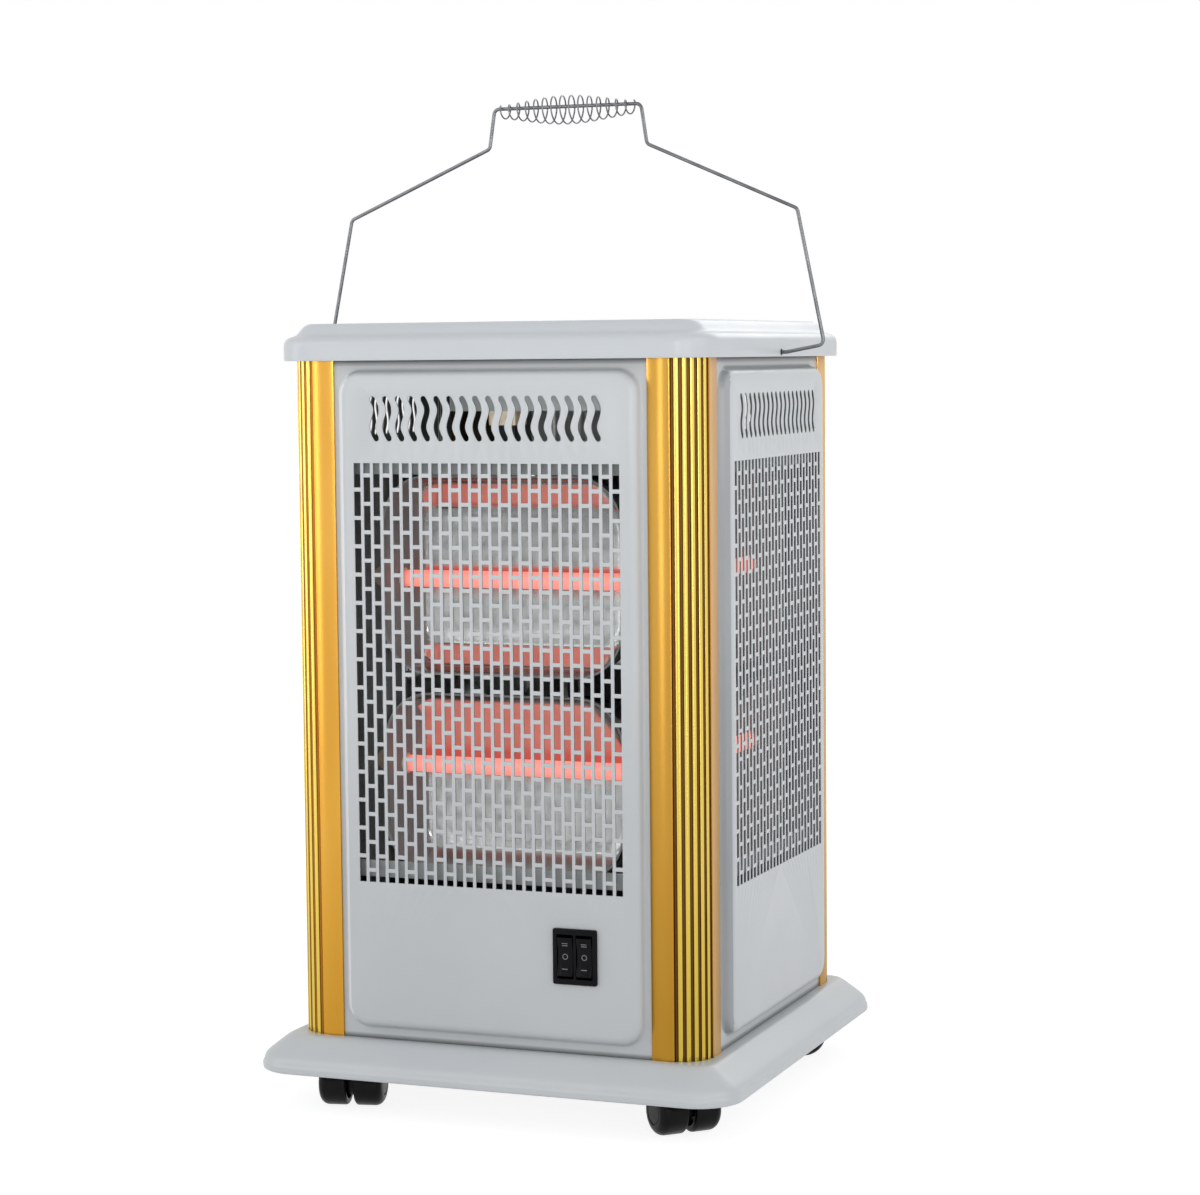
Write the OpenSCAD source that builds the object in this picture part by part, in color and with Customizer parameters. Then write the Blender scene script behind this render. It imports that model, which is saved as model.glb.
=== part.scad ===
// Four-sided quartz heater on casters, with a wire bail. Millimetres, +Z up, front at -Y.
// The origin is on the floor, under the centre of the body.

/* [Body] */
// Width across the outer faces of the posts
body_w = 285; // [275:1:305]
// Height of the deck's top face above the floor
deck_z = 50; // [50:0.5:60]
// Height of the posts, from the deck to the lid's screw cups
post_h = 455; // [445:1:475]
// Thickness of the stamped steel sheet
sheet = 1; // [0.8:0.1:1.3]

/* [Posts] */
// Width of a post's flat wing
wing_w = 13; // [12:0.5:15]
// Radius of a post's rounded corner
post_r = 21.5; // [20:0.5:23]
// Wall thickness of a post's corner
post_wall = 2.2; // [2:0.1:2.8]
// Thickness of a post's wings and of the legs behind them
wing_t = 1.2; // [1:0.1:1.4]
// Grooves round a post's corner
groove_n = 6; // [4:1:7]
// Radius of a groove
groove_r = 1.4; // [1:0.1:1.6]
// Angle from one groove to the next
groove_step = 14.2; // [11:0.1:15]
// Radius of a post's screw boss
boss_r = 4; // [3.5:0.1:4.5]
// Radius of the screws that hold the posts
screw_r = 1.9; // [1.5:0.1:2.2]

/* [Panels] */
// Height of a panel's raised field above its border
emboss_h = 7.3; // [5:0.1:8]
// Width of the flat border between the post and the raised field
border_w = 4.5; // [3:0.5:8]
// Radius of the raised field's corners
emboss_r = 15; // [12:1:30]
// Flat strip below the raised field
border_h = 8.5; // [4:0.5:10]
// Flat strip between the raised field and the lid's lower edge
border_top = 6.8; // [6:0.1:14]
// Distance from the middle of the first mesh column to the side of the raised field
mesh_inset = 11; // [9:0.5:20]
// Height of the mesh's lower edge above the deck
mesh_low = 105; // [90:1:130]
// Full slots in a mesh column
mesh_rows = 15; // [10:1:15]
// Distance from one mesh column to the next
mesh_pitch = 6.87; // [6.5:0.01:8]
// Width of a mesh slot
slot_w = 4.6; // [3:0.1:5]
// Height of a mesh slot
slot_h = 15.7; // [12:0.1:16.5]
// Bar between one mesh slot and the next above it
slot_bar = 2.64; // [1.5:0.01:3.5]
// Number of vent louvres above the mesh
vent_n = 18; // [8:1:19]
// Distance from one vent to the next
vent_pitch = 9; // [8:0.1:10]
// Height of a vent
vent_h = 29; // [20:1:32]
// Width of a vent
vent_w = 3.9; // [2.5:0.1:4.2]
// Sideways swing of a vent's curve
vent_sway = 1.9; // [1:0.1:3]
// Sideways shift of a vent's ends
vent_lean = 1.3; // [0:0.1:2]
// Gap from the mesh up to the vents
vent_gap = 14; // [10:0.5:20]

/* [Lid] */
// Overhang of the lid beyond the posts
lid_over = 7.9; // [6:0.1:10]
// Corner radius of the lid
lid_r = 28; // [26:0.5:34]
// Width of the lid's moulded shoulder
lid_shoulder = 18; // [15:0.5:20]
// Height of the lid's upright flange
lid_flange = 11.7; // [10:0.1:14]
// Height of the lid's moulded shoulder above the flange
lid_rise = 12.4; // [8:0.1:16]
// Radius of the cups that hold the lid's screws
cup_r = 6; // [5:0.1:6.5]

/* [Base] */
// Overhang of the base beyond the posts
base_over = 24.7; // [22:0.1:30]
// Corner radius of the base
base_r = 30; // [28:0.5:40]
// Depth of the base from the deck to its lower edge
base_drop = 22.6; // [20:0.1:24]
// Width of the base's slope
slope_w = 21; // [18:0.5:22]
// Depth of the base's slope
slope_h = 18; // [14:0.1:20]

/* [Casters] */
// Distance of a caster's swivel in from its corner's middle, each way
swivel_xy = 8; // [7:1:13]
// Radius of a caster wheel
wheel_r = 15.5; // [14:0.1:16]
// Width of a caster wheel
wheel_w = 19; // [15:0.5:20]
// Radius of an axle
axle_r = 2; // [1.5:0.1:3]
// Distance from a swivel to its axle
trail = 12; // [10:0.5:14]
// Thickness of the web between two wheels
web_t = 4; // [3:0.5:5]
// Thickness of a caster's mudguard
guard_t = 1.6; // [1.2:0.1:2]
// Radius of a caster's stem
stem_r = 4; // [3:0.1:5]

/* [Bail] */
// Radius of the bail's wire
wire_r = 1.25; // [1:0.05:1.5]
// Height of the bail's pivot above the lid's lower edge
pivot_rise = 3; // [2.8:0.1:6]
// Distance of the bail's leg from the lid
leg_out = 29.6; // [20:0.1:40]
// Height of the bail's shoulder above its pivot
shoulder_rise = 94; // [80:1:110]
// Height of the bail's neck above its pivot
neck_rise = 139.5; // [125:1:150]
// Height of the bail's grip above its pivot
grip_rise = 166.2; // [158:1:180]
// Rise of the bail's leg from its pivot to its lower bend
leg_rise = 4.7; // [3:0.1:8]
// Slant of the bail's neck, from its foot to the grip
neck_slant = 4; // [2:0.5:6]
// Half-width of the bail at its shoulder
shoulder_x = 161.7; // [155:0.1:168]
// Half-width of the bail at the foot of its neck
neck_x = 57; // [54:0.5:60]
// Bend radius of the bail's wire
bend_r = 4; // [3:0.5:5]

/* [Grip coil] */
// Turns of the grip coil
coil_n = 15; // [10:1:20]
// Length of the grip coil
coil_l = 97; // [80:1:98]
// Radius of the coil's wire
coil_wire_r = 0.55; // [0.4:0.05:0.8]
// Outer radius of the coil at its ends
coil_end_r = 4.8; // [4:0.1:6]
// Outer radius of the coil at its middle
coil_mid_r = 10; // [7:0.1:12]

/* [Heating elements] */
// Height of the lower tube above the deck
tube_low = 177; // [174:0.5:180]
// Distance from the lower tube up to the upper tube
tube_pitch = 123; // [120:0.5:126]
// Depth of a tube's axis beyond the ends of the neighbouring sides' tubes
tube_depth = 19; // [17.5:0.5:20.5]
// Radius of a quartz tube
tube_r = 5.5; // [4.5:0.1:6]
// Wall thickness of a quartz tube
tube_wall = 1; // [0.8:0.1:1.5]
// Half the length of a quartz tube
tube_half = 81; // [80:0.5:83]
// Radius of the heating coil, drawn as its envelope
filament_r = 2.6; // [1.5:0.1:3]
// Radius of a ceramic end cap
cap_r = 6.8; // [6.7:0.1:7.5]
// Length of a ceramic end cap
cap_l = 11; // [10:0.5:12]

/* [Reflectors] */
// Height above the deck of the middle of the lower and the upper reflector
dish_mid = [168, 304]; // [160:0.5:310]
// Half the height of the lower and the upper reflector's rim
dish_half_h = [57.6, 63.4]; // [54:0.1:65]
// Depth of a reflector
dish_depth = 40; // [36:0.5:40]
// Width of a reflector's sloping wall
dish_wall = 16; // [14:0.5:22]
// Corner radius of a reflector's rim
dish_r = 30; // [26:0.5:36]
// Distance from the tube out to a reflector's rim
dish_front = 24; // [20:0.5:25]
// Thickness of the reflector sheet
dish_t = 0.6; // [0.5:0.1:0.8]

/* [Inner frame] */
// Height of the lower shelf's top face above the deck
shelf_low = 108; // [105:0.5:112]
// Height of the upper shelf's underside above the deck
shelf_high = 380; // [378:0.5:384]
// Depth of the shelves' flanges
shelf_flange = 11; // [6:0.5:14]
// Distance of the tube brackets beyond the tubes' ends
bracket_x = 3; // [3:0.1:5]
// Width of a leg under the lower shelf
leg_w = 14; // [10:0.5:16]
// Half the width of the terminal box under the lid
box_half = 62; // [56:1:66]
// Height of the terminal box's open bottom above the deck
box_low = 409; // [400:0.5:415]

/* [Switch] */
// Distance of the switch from the middle of the front
switch_x = 59; // [45:1:62]
// Height of the switch above the deck
switch_z = 64.5; // [50:0.5:70]
// Width of the switch's bezel
bezel_w = 30; // [29:0.5:34]
// Height of the switch's bezel
bezel_h = 36; // [35:0.5:40]
// Thickness of the bezel
bezel_t = 2; // [1.5:0.1:3]
// Width of a rocker
rocker_w = 10.4; // [9:0.1:10.6]
// Height of a rocker
rocker_h = 25; // [20:0.5:25.5]
// Radius of a rocker's pivot
rocker_pin_r = 1.4; // [1:0.1:1.8]

/* [Cord gland] */
// Distance of the gland from the middle of the back, towards the left side
gland_x = 60; // [30:1:80]
// Height of the gland above the deck
gland_z = 28; // [20:0.5:40]
// Radius of the gland's bore
gland_bore_r = 3.6; // [3:0.1:4.5]
// Radius of the gland's flange
gland_flange_r = 9; // [8:0.1:12]

/* [Hidden] */
$fn = 48;

// Clearance of a pin in its bore, all round
pin_gap = 0.05;
// Clearance of a sheet in its slot, each side
slot_gap = 0.1;
// Clearance between neighbouring pieces that don't touch
part_gap = 0.3;
// Overlap of joined solids
eps = 0.01;
// Overshoot of cuts
over = 1;
// A bend is this much thicker than its wire and takes in this much of each straight
bend_swell = 0.02;
bend_lap = 0.25;

body_half = body_w / 2;
corner_xy = body_half - post_r;
post_top = deck_z + post_h;
// A post's screw boss lies out from the corner's centre, on a rib
boss_shift = 1.5;
boss_xy = corner_xy + boss_shift;
rib_t = 2.5;
// A wing lies a hair below the round corner, which reaches over it and meets it at an angle
wing_dip = 0.05;
corner_lap = 2;
// A groove's centre lies outside the corner
groove_out = 0.3;
hole_r = screw_r + 0.1;
screw_head_r = screw_r + 1.7;
screw_head_h = 2.2;
screw_l = 14;
leg_screw_l = 4;

// Sheet planes of a panel: its border runs in the slots of the posts
border_out = body_half - wing_t - slot_gap;
border_in = border_out - sheet;
field_out = border_out + emboss_h;
slot_bottom = border_in - slot_gap;
wing_foot = corner_xy - wing_w;
web_in = 4;
web_x = corner_xy - web_in;
panel_half = web_x - 2 * slot_gap;
lid_low = post_top - lid_flange;
field_half = wing_foot - border_w;
field_low = deck_z + border_h;
field_high = lid_low - border_top;

mesh_row = slot_h + slot_bar;
mesh_half = field_half - mesh_inset;
mesh_cols = 2 * floor(mesh_half / mesh_pitch) + 1;
mesh_z = deck_z + mesh_low;
mesh_top = mesh_z + mesh_rows * mesh_row - slot_bar;
half_slot = (slot_h - slot_bar) / 2;
vent_z = mesh_top + vent_gap + vent_h / 2;

lid_half = body_half + lid_over;
lid_top = post_top + lid_rise;
base_half = body_half + base_over;
base_low = deck_z - base_drop;
deck_low = deck_z - sheet;

wheel_gap = 0.5;
wheel_round = 6;
hub_r = 6;
guard_in = wheel_r + 1;
guard_out = guard_in + guard_t;
caster_half = web_t / 2 + wheel_gap + wheel_w;
guard_from = 100;
guard_turn = 130;
// Wall over an axle's end, and the ring left round a wheel's recess
hub_cover = 3;
tread_t = 4;
recess_d = 4;
inner_round = 2;
swivel_rise = 4;
hood_top = wheel_r + guard_out + swivel_rise;
socket_low = hood_top + part_gap;
socket_r = 8;
stem_short = 1.5;
stem_top = deck_low - stem_short;
swivel_boss_r = 8;
hub_web_r = 9;
// Rest angle of each caster about its swivel, as its axle's turn from +X
caster_turn = [13, 45, 120, -40];

pivot_z = lid_low + pivot_rise;
// The bail's pivot stubs reach in and out from the lid's sides
stub_in = lid_half - 6.5;
stub_out = lid_half + 3.5;
leg_x = lid_half + leg_out;
grip_x = neck_x - neck_slant;
grip_z = pivot_z + grip_rise;
// The coil hangs on the wire by the top of its end turns
coil_z = grip_z - (coil_end_r - 2 * coil_wire_r - wire_r - part_gap);

tube_y = tube_half + tube_depth;
tube_z = [deck_z + tube_low, deck_z + tube_low + tube_pitch];
dish_z = [deck_z + dish_mid[0], deck_z + dish_mid[1]];
dish_gap = 2;
bracket_at = tube_half + bracket_x;
dish_half_x = bracket_at - dish_gap;
dish_lip = 1.5;
tab_w = 12;
rim_y = tube_y + dish_front;
floor_y = rim_y - dish_depth;
// A tube and its heating coil reach into the ceramic caps
tube_seat = 3;
coil_seat = 2;
cap_in = tube_half - tube_seat;
shelf_half = border_in - part_gap;
shelf_low_z = deck_z + shelf_low;
shelf_high_z = deck_z + shelf_high;
bracket_t = 0.8;
bracket_y = [tube_y - 12, rim_y + 1];
bracket_foot = [8, 10];
shelf_arm = wing_foot - 2;
shelf_core = corner_xy - boss_r - 1;
shelf_hole = 40;
leg_xy = corner_xy - 23;

// The leads rise through holes in the shelves' corners
lead_xy = corner_xy - 26;
lead_r = 1.2;
lead_hole_r = 3.5;
lead_bend = 3;
lead_end = 12;
lead_top = 12;
riser_r = 2;
riser_x = 6;

// The terminal box: its rear wall stands on the upper shelf, and the block hangs in its front
rest_z = shelf_high_z + sheet;
box_z = deck_z + box_low;
box_foot = box_half - 8;
block_size = [19, 20, 24];
block_at = [-34, sheet - box_half, box_z - 9.5];
block_ways = 2;
block_bore_r = 2;
tilt_size = [34, 18, 22];
tilt_foot = [46, 10, 2];
tilt_at = [-70, 40];

switch_face = field_out + bezel_t;
switch_mid_z = deck_z + switch_z;
rocker_gap = 0.3;
// A rocker's ends stand proud of its pivot's depth, and its face dips between them
rocker_proud = 1.2;
rocker_dip = 2;
rocker_back = 3;
rocker_taper = 0.6;
divider = 2;
window_w = rocker_w + 2 * rocker_gap;
window_x = (window_w + divider) / 2;
window_h = rocker_h + 3;
window_depth = 12;
pivot_depth = 4.4;
pin_l = 0.8;
body_depth = 26;
bezel_over = 2;
housing_w = bezel_w - 2 * bezel_over;
housing_h = bezel_h - 2 * bezel_over;

gland_mid_z = deck_z + gland_z;
gland_neck_r = gland_flange_r - 2.5;
gland_nut_r = gland_neck_r + 1.5;
gland_flange_h = 3;
gland_nut_h = 3;
gland_neck_l = 8;

white = [0.82, 0.84, 0.86];
gold = [0.85, 0.62, 0.2];
steel = [0.7, 0.71, 0.73];
black = [0.08, 0.08, 0.09];
ceramic = [0.93, 0.85, 0.74];

echo(coil_gap = coil_gap());

// Turns a child drawn on the front to side i: front, right, back, left
module on_side(i) {
  rotate([0, 0, 90 * i]) children();
}

// Stands a child outline upright, with its back face at distance d from the middle
module upright(d, t) {
  translate([0, -d, 0]) rotate([90, 0, 0]) linear_extrude(t) children();
}

// Sweeps a child profile round a rectangle; x in the profile starts at the corner's centre
module rim(hx, hy, r) {
  for (s = [[1, 1, 0], [-1, 1, 90], [-1, -1, 180], [1, -1, 270]])
    translate([s[0] * (hx - r), s[1] * (hy - r), 0]) rotate([0, 0, s[2]])
      rotate_extrude(angle = 90) children();
  for (s = [0, 180]) {
    rotate([0, 0, s]) translate([hx - r, hy - r, 0])
      rotate([90, 0, 0]) linear_extrude(2 * (hy - r)) children();
    rotate([0, 0, s + 90]) translate([hy - r, hx - r, 0])
      rotate([90, 0, 0]) linear_extrude(2 * (hx - r)) children();
  }
}

module rounded_rect(hx, hy, r) {
  for (sx = [-1, 1], sy = [-1, 1])
    translate([sx * (hx - r), sy * (hy - r)]) circle(r);
  square([2 * hx, 2 * (hy - r)], center = true);
  square([2 * (hx - r), 2 * hy], center = true);
}

function unit(v) = v / norm(v);
function left_of(a, b) = let (d = unit(b - a)) [-d[1], d[0]];

// Shifts an open outline by t to its left, keeping the distance at every bend
function shifted(p, t) = [
  for (i = [0 : len(p) - 1])
    let (
      a = left_of(p[max(i - 1, 0)], p[max(i, 1)]),
      last = len(p) - 1,
      b = left_of(p[min(i, last - 1)], p[min(i + 1, last)])
    )
      p[i] + t * (a + b) / (1 + a * b)
];
function reversed(p) = [for (i = [len(p) - 1 : -1 : 0]) p[i]];

// Wire of radius r along a flat route in XZ, with rounded bends
module wire(p, r, bend) {
  last = len(p) - 1;
  cut = [for (i = [0 : last]) (i == 0 || i == last) ? 0 : bend_reach(p, i, bend)];
  for (i = [0 : last - 1]) {
    d = unit(p[i + 1] - p[i]);
    a = p[i] + d * (cut[i] - (i > 0 ? bend_lap : 0));
    b = p[i + 1] - d * (cut[i + 1] - (i < last - 1 ? bend_lap : 0));
    translate([a[0], 0, a[1]]) rotate([0, 90 - atan2(d[1], d[0]), 0])
      cylinder(r = r, h = norm(b - a));
  }
  for (i = [1 : last - 1]) bend_at(p, i, bend, r);
}

function turn_at(p, i) =
  let (a = unit(p[i] - p[i - 1]), b = unit(p[i + 1] - p[i]))
    atan2(a[0] * b[1] - a[1] * b[0], a * b);
function bend_reach(p, i, bend) = bend * tan(abs(turn_at(p, i)) / 2);

module bend_at(p, i, bend, r) {
  a = unit(p[i] - p[i - 1]);
  turn = turn_at(p, i);
  side = turn > 0 ? 1 : -1;
  start = p[i] - a * bend_reach(p, i, bend);
  centre = start + side * bend * [-a[1], a[0]];
  from = atan2(start[1] - centre[1], start[0] - centre[0]);
  translate([centre[0], 0, centre[1]]) rotate([90, 0, 0]) rotate([0, 0, min(from, from + turn)])
    rotate_extrude(angle = abs(turn)) translate([bend, 0]) circle(r + bend_swell);
}

// The base: a flat deck, a slope with rounded ends down to the rim, and an upright lip
function base_outline() = [
  [0, deck_z],
  [base_r - slope_w, deck_z],
  [base_r - 0.86 * slope_w, deck_z - 0.05 * slope_h],
  [base_r - 0.62 * slope_w, deck_z - 0.25 * slope_h],
  [base_r - 0.36 * slope_w, deck_z - 0.48 * slope_h],
  [base_r - 0.14 * slope_w, deck_z - 0.7 * slope_h],
  [base_r - 0.05 * slope_w, deck_z - 0.84 * slope_h],
  [base_r, deck_z - slope_h],
  [base_r, base_low]
];

module pan(half, r, outline, t) {
  rim(half, half, r) polygon(concat(outline, reversed(shifted(outline, -t))));
}

module base_tray() {
  inner = 2 * (base_half - base_r);
  color(white) difference() {
    union() {
      pan(base_half, base_r, base_outline(), sheet);
      translate([-inner / 2, -inner / 2, deck_low]) cube([inner, inner, sheet]);
    }
    for (i = [0 : 3], d = [boss_xy, leg_xy]) on_side(i)
      translate([d, d, deck_low - over]) cylinder(r = hole_r, h = sheet + 2 * over);
  }
}

// The lid: an upright flange, a double shoulder and a flat top
function lid_outline() = [
  [0, lid_top],
  [lid_r - lid_shoulder, lid_top],
  [lid_r - 0.86 * lid_shoulder, lid_top - 0.05 * lid_rise],
  [lid_r - 0.69 * lid_shoulder, lid_top - 0.2 * lid_rise],
  [lid_r - 0.56 * lid_shoulder, lid_top - 0.46 * lid_rise],
  [lid_r - 0.42 * lid_shoulder, lid_top - 0.62 * lid_rise],
  [lid_r - 0.22 * lid_shoulder, lid_top - 0.72 * lid_rise],
  [lid_r - 0.07 * lid_shoulder, lid_top - 0.86 * lid_rise],
  [lid_r, lid_top - lid_rise],
  [lid_r, lid_low]
];

module lid() {
  inner = 2 * (lid_half - lid_r);
  color(white) difference() {
    union() {
      pan(lid_half, lid_r, lid_outline(), sheet);
      translate([-inner / 2, -inner / 2, lid_top - sheet]) cube([inner, inner, sheet]);
      for (i = [0 : 3]) on_side(i) translate([boss_xy, boss_xy, post_top])
        cylinder(r = cup_r, h = lid_rise - sheet / 2);
    }
    for (i = [0 : 3]) on_side(i) translate([boss_xy, boss_xy, 0]) {
      translate([0, 0, post_top + sheet]) cylinder(r = cup_r - sheet, h = lid_rise);
      translate([0, 0, post_top - over]) cylinder(r = hole_r, h = sheet + 2 * over);
    }
    for (s = [-1, 1]) translate([s * (lid_half - sheet / 2), 0, pivot_z])
      rotate([0, 90, 0]) cylinder(r = wire_r + pin_gap, h = 3 * sheet, center = true);
  }
}

// Cross-section of the post at +X +Y
module post_section() {
  difference() {
    union() {
      translate([corner_xy, corner_xy]) {
        intersection() {
          difference() {
            circle(post_r);
            circle(post_r - post_wall);
          }
          translate([-corner_lap, -corner_lap]) square(post_r + over + corner_lap);
        }
        rotate(45) translate([boss_shift, -rib_t / 2])
          square([post_r - post_wall - boss_shift + eps, rib_t]);
      }
      translate([boss_xy, boss_xy]) circle(boss_r);
      wing();
      mirror([1, -1, 0]) wing();
    }
    translate([boss_xy, boss_xy]) circle(screw_r);
    for (i = [0 : groove_n - 1])
      translate([corner_xy, corner_xy]) rotate(45 + groove_step * (i - (groove_n - 1) / 2))
        translate([post_r + groove_out, 0]) circle(groove_r);
  }
}

// One wing with the slot behind it that takes the panel's edge
module wing() {
  translate([wing_foot, body_half - wing_t]) square([wing_w, wing_t - wing_dip]);
  translate([wing_foot, slot_bottom - wing_t]) square([wing_w - web_in + wing_t, wing_t]);
  translate([web_x, slot_bottom - wing_t]) square([wing_t, body_half - slot_bottom + wing_t]);
}

module post(i) {
  color(gold) on_side(i) translate([0, 0, deck_z]) linear_extrude(post_h) post_section();
}
module post_back_right() { post(0); }
module post_back_left() { post(1); }
module post_front_left() { post(2); }
module post_front_right() { post(3); }

// The brick-like mesh: every second column is shifted by half a slot and ends in half slots
module mesh_slots() {
  for (c = [0 : mesh_cols - 1])
    translate([(c - (mesh_cols - 1) / 2) * mesh_pitch - slot_w / 2, mesh_z]) {
      if (c % 2 == 0) for (k = [0 : mesh_rows - 1])
        translate([0, k * mesh_row]) square([slot_w, slot_h]);
      else {
        square([slot_w, half_slot]);
        for (k = [0 : mesh_rows - 2])
          translate([0, half_slot + slot_bar + k * mesh_row]) square([slot_w, slot_h]);
        translate([0, mesh_top - mesh_z - half_slot]) square([slot_w, half_slot]);
      }
    }
}

// Middle of a vent at t of its height: it swings left in its lower half and right in its upper half
function vent_mid(t) = vent_lean * (1 - 2 * t) - vent_sway * sin(360 * t);
module vent_slot() {
  steps = 12;
  right = [for (k = [0 : steps]) [vent_mid(k / steps) + vent_w / 2, (k / steps - 0.5) * vent_h]];
  left = [for (k = [steps : -1 : 0]) [vent_mid(k / steps) - vent_w / 2, (k / steps - 0.5) * vent_h]];
  polygon(concat(right, left));
}

module vents() {
  for (k = [0 : vent_n - 1])
    translate([(k - (vent_n - 1) / 2) * vent_pitch, vent_z]) vent_slot();
}

// One stamped panel: a flat border, an upright step and the raised field
module panel_sheet() {
  mid_z = (field_low + field_high) / 2;
  half_z = (field_high - field_low) / 2;
  difference() {
    union() {
      upright(border_in, sheet) difference() {
        translate([-panel_half, deck_z + part_gap]) square([2 * panel_half, post_h - 2 * part_gap]);
        translate([0, mid_z]) rounded_rect(field_half - sheet, half_z - sheet, emboss_r - sheet);
      }
      upright(border_in, emboss_h + sheet) translate([0, mid_z]) difference() {
        rounded_rect(field_half, half_z, emboss_r);
        rounded_rect(field_half - sheet, half_z - sheet, emboss_r - sheet);
      }
      upright(field_out - sheet, sheet) difference() {
        translate([0, mid_z]) rounded_rect(field_half - sheet / 2, half_z - sheet / 2, emboss_r - sheet / 2);
        mesh_slots();
        vents();
      }
    }
    children();
  }
}

module panel_front() {
  color(white) panel_sheet()
    translate([switch_x, -field_out, switch_mid_z])
      cube([housing_w + 2 * slot_gap, 4 * sheet, housing_h + 2 * slot_gap], center = true);
}
module panel_right() { color(white) on_side(1) panel_sheet(); }
module panel_back() {
  color(white) on_side(2) panel_sheet()
    translate([gland_x, -field_out, gland_mid_z]) rotate([90, 0, 0])
      cylinder(r = gland_neck_r + pin_gap, h = 4 * sheet, center = true);
}
module panel_left() { color(white) on_side(3) panel_sheet(); }

// Plan of the shelves: a square core with four arms that pass between the posts
module shelf_plan() {
  square([2 * shelf_arm, 2 * shelf_half], center = true);
  square([2 * shelf_half, 2 * shelf_arm], center = true);
  square(2 * shelf_core, center = true);
}

module shelf(z, flange_z) {
  translate([0, 0, z]) linear_extrude(sheet) difference() {
    shelf_plan();
    square(shelf_hole, center = true);
    for (i = [0 : 3]) rotate(90 * i) translate([lead_xy, lead_xy]) circle(lead_hole_r);
  }
  for (i = [0 : 3]) on_side(i)
    translate([-shelf_arm, -shelf_half, flange_z]) cube([2 * shelf_arm, sheet, shelf_flange]);
}

module lower_shelf() {
  z = shelf_low_z - sheet;
  color(steel) difference() {
    union() {
      shelf(z, z);
      for (i = [0 : 3]) on_side(i) translate([leg_xy, leg_xy, 0]) {
        translate([leg_w / 2 - sheet, -leg_w / 2, deck_z]) cube([sheet, leg_w, z - deck_z + eps]);
        translate([-leg_w / 2, leg_w / 2 - sheet, deck_z]) cube([leg_w, sheet, z - deck_z + eps]);
        translate([-leg_w / 2, -leg_w / 2, deck_z]) cube([leg_w, leg_w, sheet]);
      }
    }
    for (i = [0 : 3]) on_side(i)
      translate([leg_xy, leg_xy, deck_z - over]) cylinder(r = hole_r, h = sheet + 2 * over);
  }
}

module upper_shelf() {
  color(steel) shelf(shelf_high_z, shelf_high_z - shelf_flange + sheet);
}

// A stamped reflector dish, open towards the panel, with a slot for the tube in each end
module reflector(i, k) {
  wall = [
    [0, 0],
    [dish_r - dish_wall, 0],
    [dish_r - 0.62 * dish_wall, 0.12 * dish_depth],
    [dish_r - 0.3 * dish_wall, 0.42 * dish_depth],
    [dish_r - 0.08 * dish_wall, 0.8 * dish_depth],
    [dish_r, dish_depth - dish_t / 2],
    [dish_r + dish_lip, dish_depth]
  ];
  profile = concat(wall, reversed(shifted(wall, dish_t)));
  color("silver") on_side(i) difference() {
    translate([0, -floor_y, dish_z[k]]) rotate([90, 0, 0]) union() {
      rim(dish_half_x, dish_half_h[k], dish_r) polygon(profile);
      cube_flat(dish_half_x - dish_r, dish_half_h[k] - dish_r, dish_t);
      for (s = [-1, 1])
        translate([s * dish_half_x, 0, dish_depth + dish_t / 2])
          cube([2 * dish_gap, tab_w, dish_t], center = true);
    }
    translate([0, -tube_y, tube_z[k]]) rotate([0, 90, 0])
      cylinder(r = cap_r + part_gap, h = 2 * (bracket_at + cap_l), center = true);
  }
}

module cube_flat(hx, hy, t) {
  translate([-hx, -hy, 0]) cube([2 * hx, 2 * hy, t]);
}

module reflector_front_lower() { reflector(0, 0); }
module reflector_front_upper() { reflector(0, 1); }
module reflector_right_lower() { reflector(1, 0); }
module reflector_right_upper() { reflector(1, 1); }
module reflector_back_lower() { reflector(2, 0); }
module reflector_back_upper() { reflector(2, 1); }
module reflector_left_lower() { reflector(3, 0); }
module reflector_left_upper() { reflector(3, 1); }

// Two upright strips that carry the tube ends between the shelves
module brackets(i) {
  h = shelf_high_z - shelf_low_z;
  w = bracket_y[1] - bracket_y[0];
  color(steel) on_side(i) for (s = [-1, 1]) difference() {
    translate([s * (bracket_at + bracket_t / 2), -bracket_y[1], shelf_low_z]) {
      translate([-bracket_t / 2, 0, 0]) cube([bracket_t, w, h]);
      for (z = [0, h - bracket_t])
        translate([s > 0 ? -bracket_foot[0] : 0, w - bracket_foot[1], z])
          cube([bracket_foot[0], bracket_foot[1], bracket_t]);
    }
    for (k = [0, 1]) translate([s * bracket_at, -tube_y, tube_z[k]]) rotate([0, 90, 0])
      cylinder(r = cap_r + pin_gap, h = bracket_t + 4 * over, center = true);
  }
}
module brackets_front() { brackets(0); }
module brackets_right() { brackets(1); }
module brackets_back() { brackets(2); }
module brackets_left() { brackets(3); }

module along_tube(i, k) {
  on_side(i) translate([0, -tube_y, tube_z[k]]) rotate([0, 90, 0]) children();
}

module tubes(i) {
  color([0.95, 0.55, 0.45]) for (k = [0, 1]) along_tube(i, k) difference() {
    cylinder(r = tube_r, h = 2 * tube_half, center = true);
    cylinder(r = tube_r - tube_wall, h = 2 * (tube_half + over), center = true);
  }
}
module tubes_front() { tubes(0); }
module tubes_right() { tubes(1); }
module tubes_back() { tubes(2); }
module tubes_left() { tubes(3); }

// The heating coils end inside the caps, which carry them
module filaments() {
  color("orangered") for (i = [0 : 3], k = [0, 1]) along_tube(i, k)
    cylinder(r = filament_r, h = 2 * (tube_half + coil_seat), center = true);
}

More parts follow.
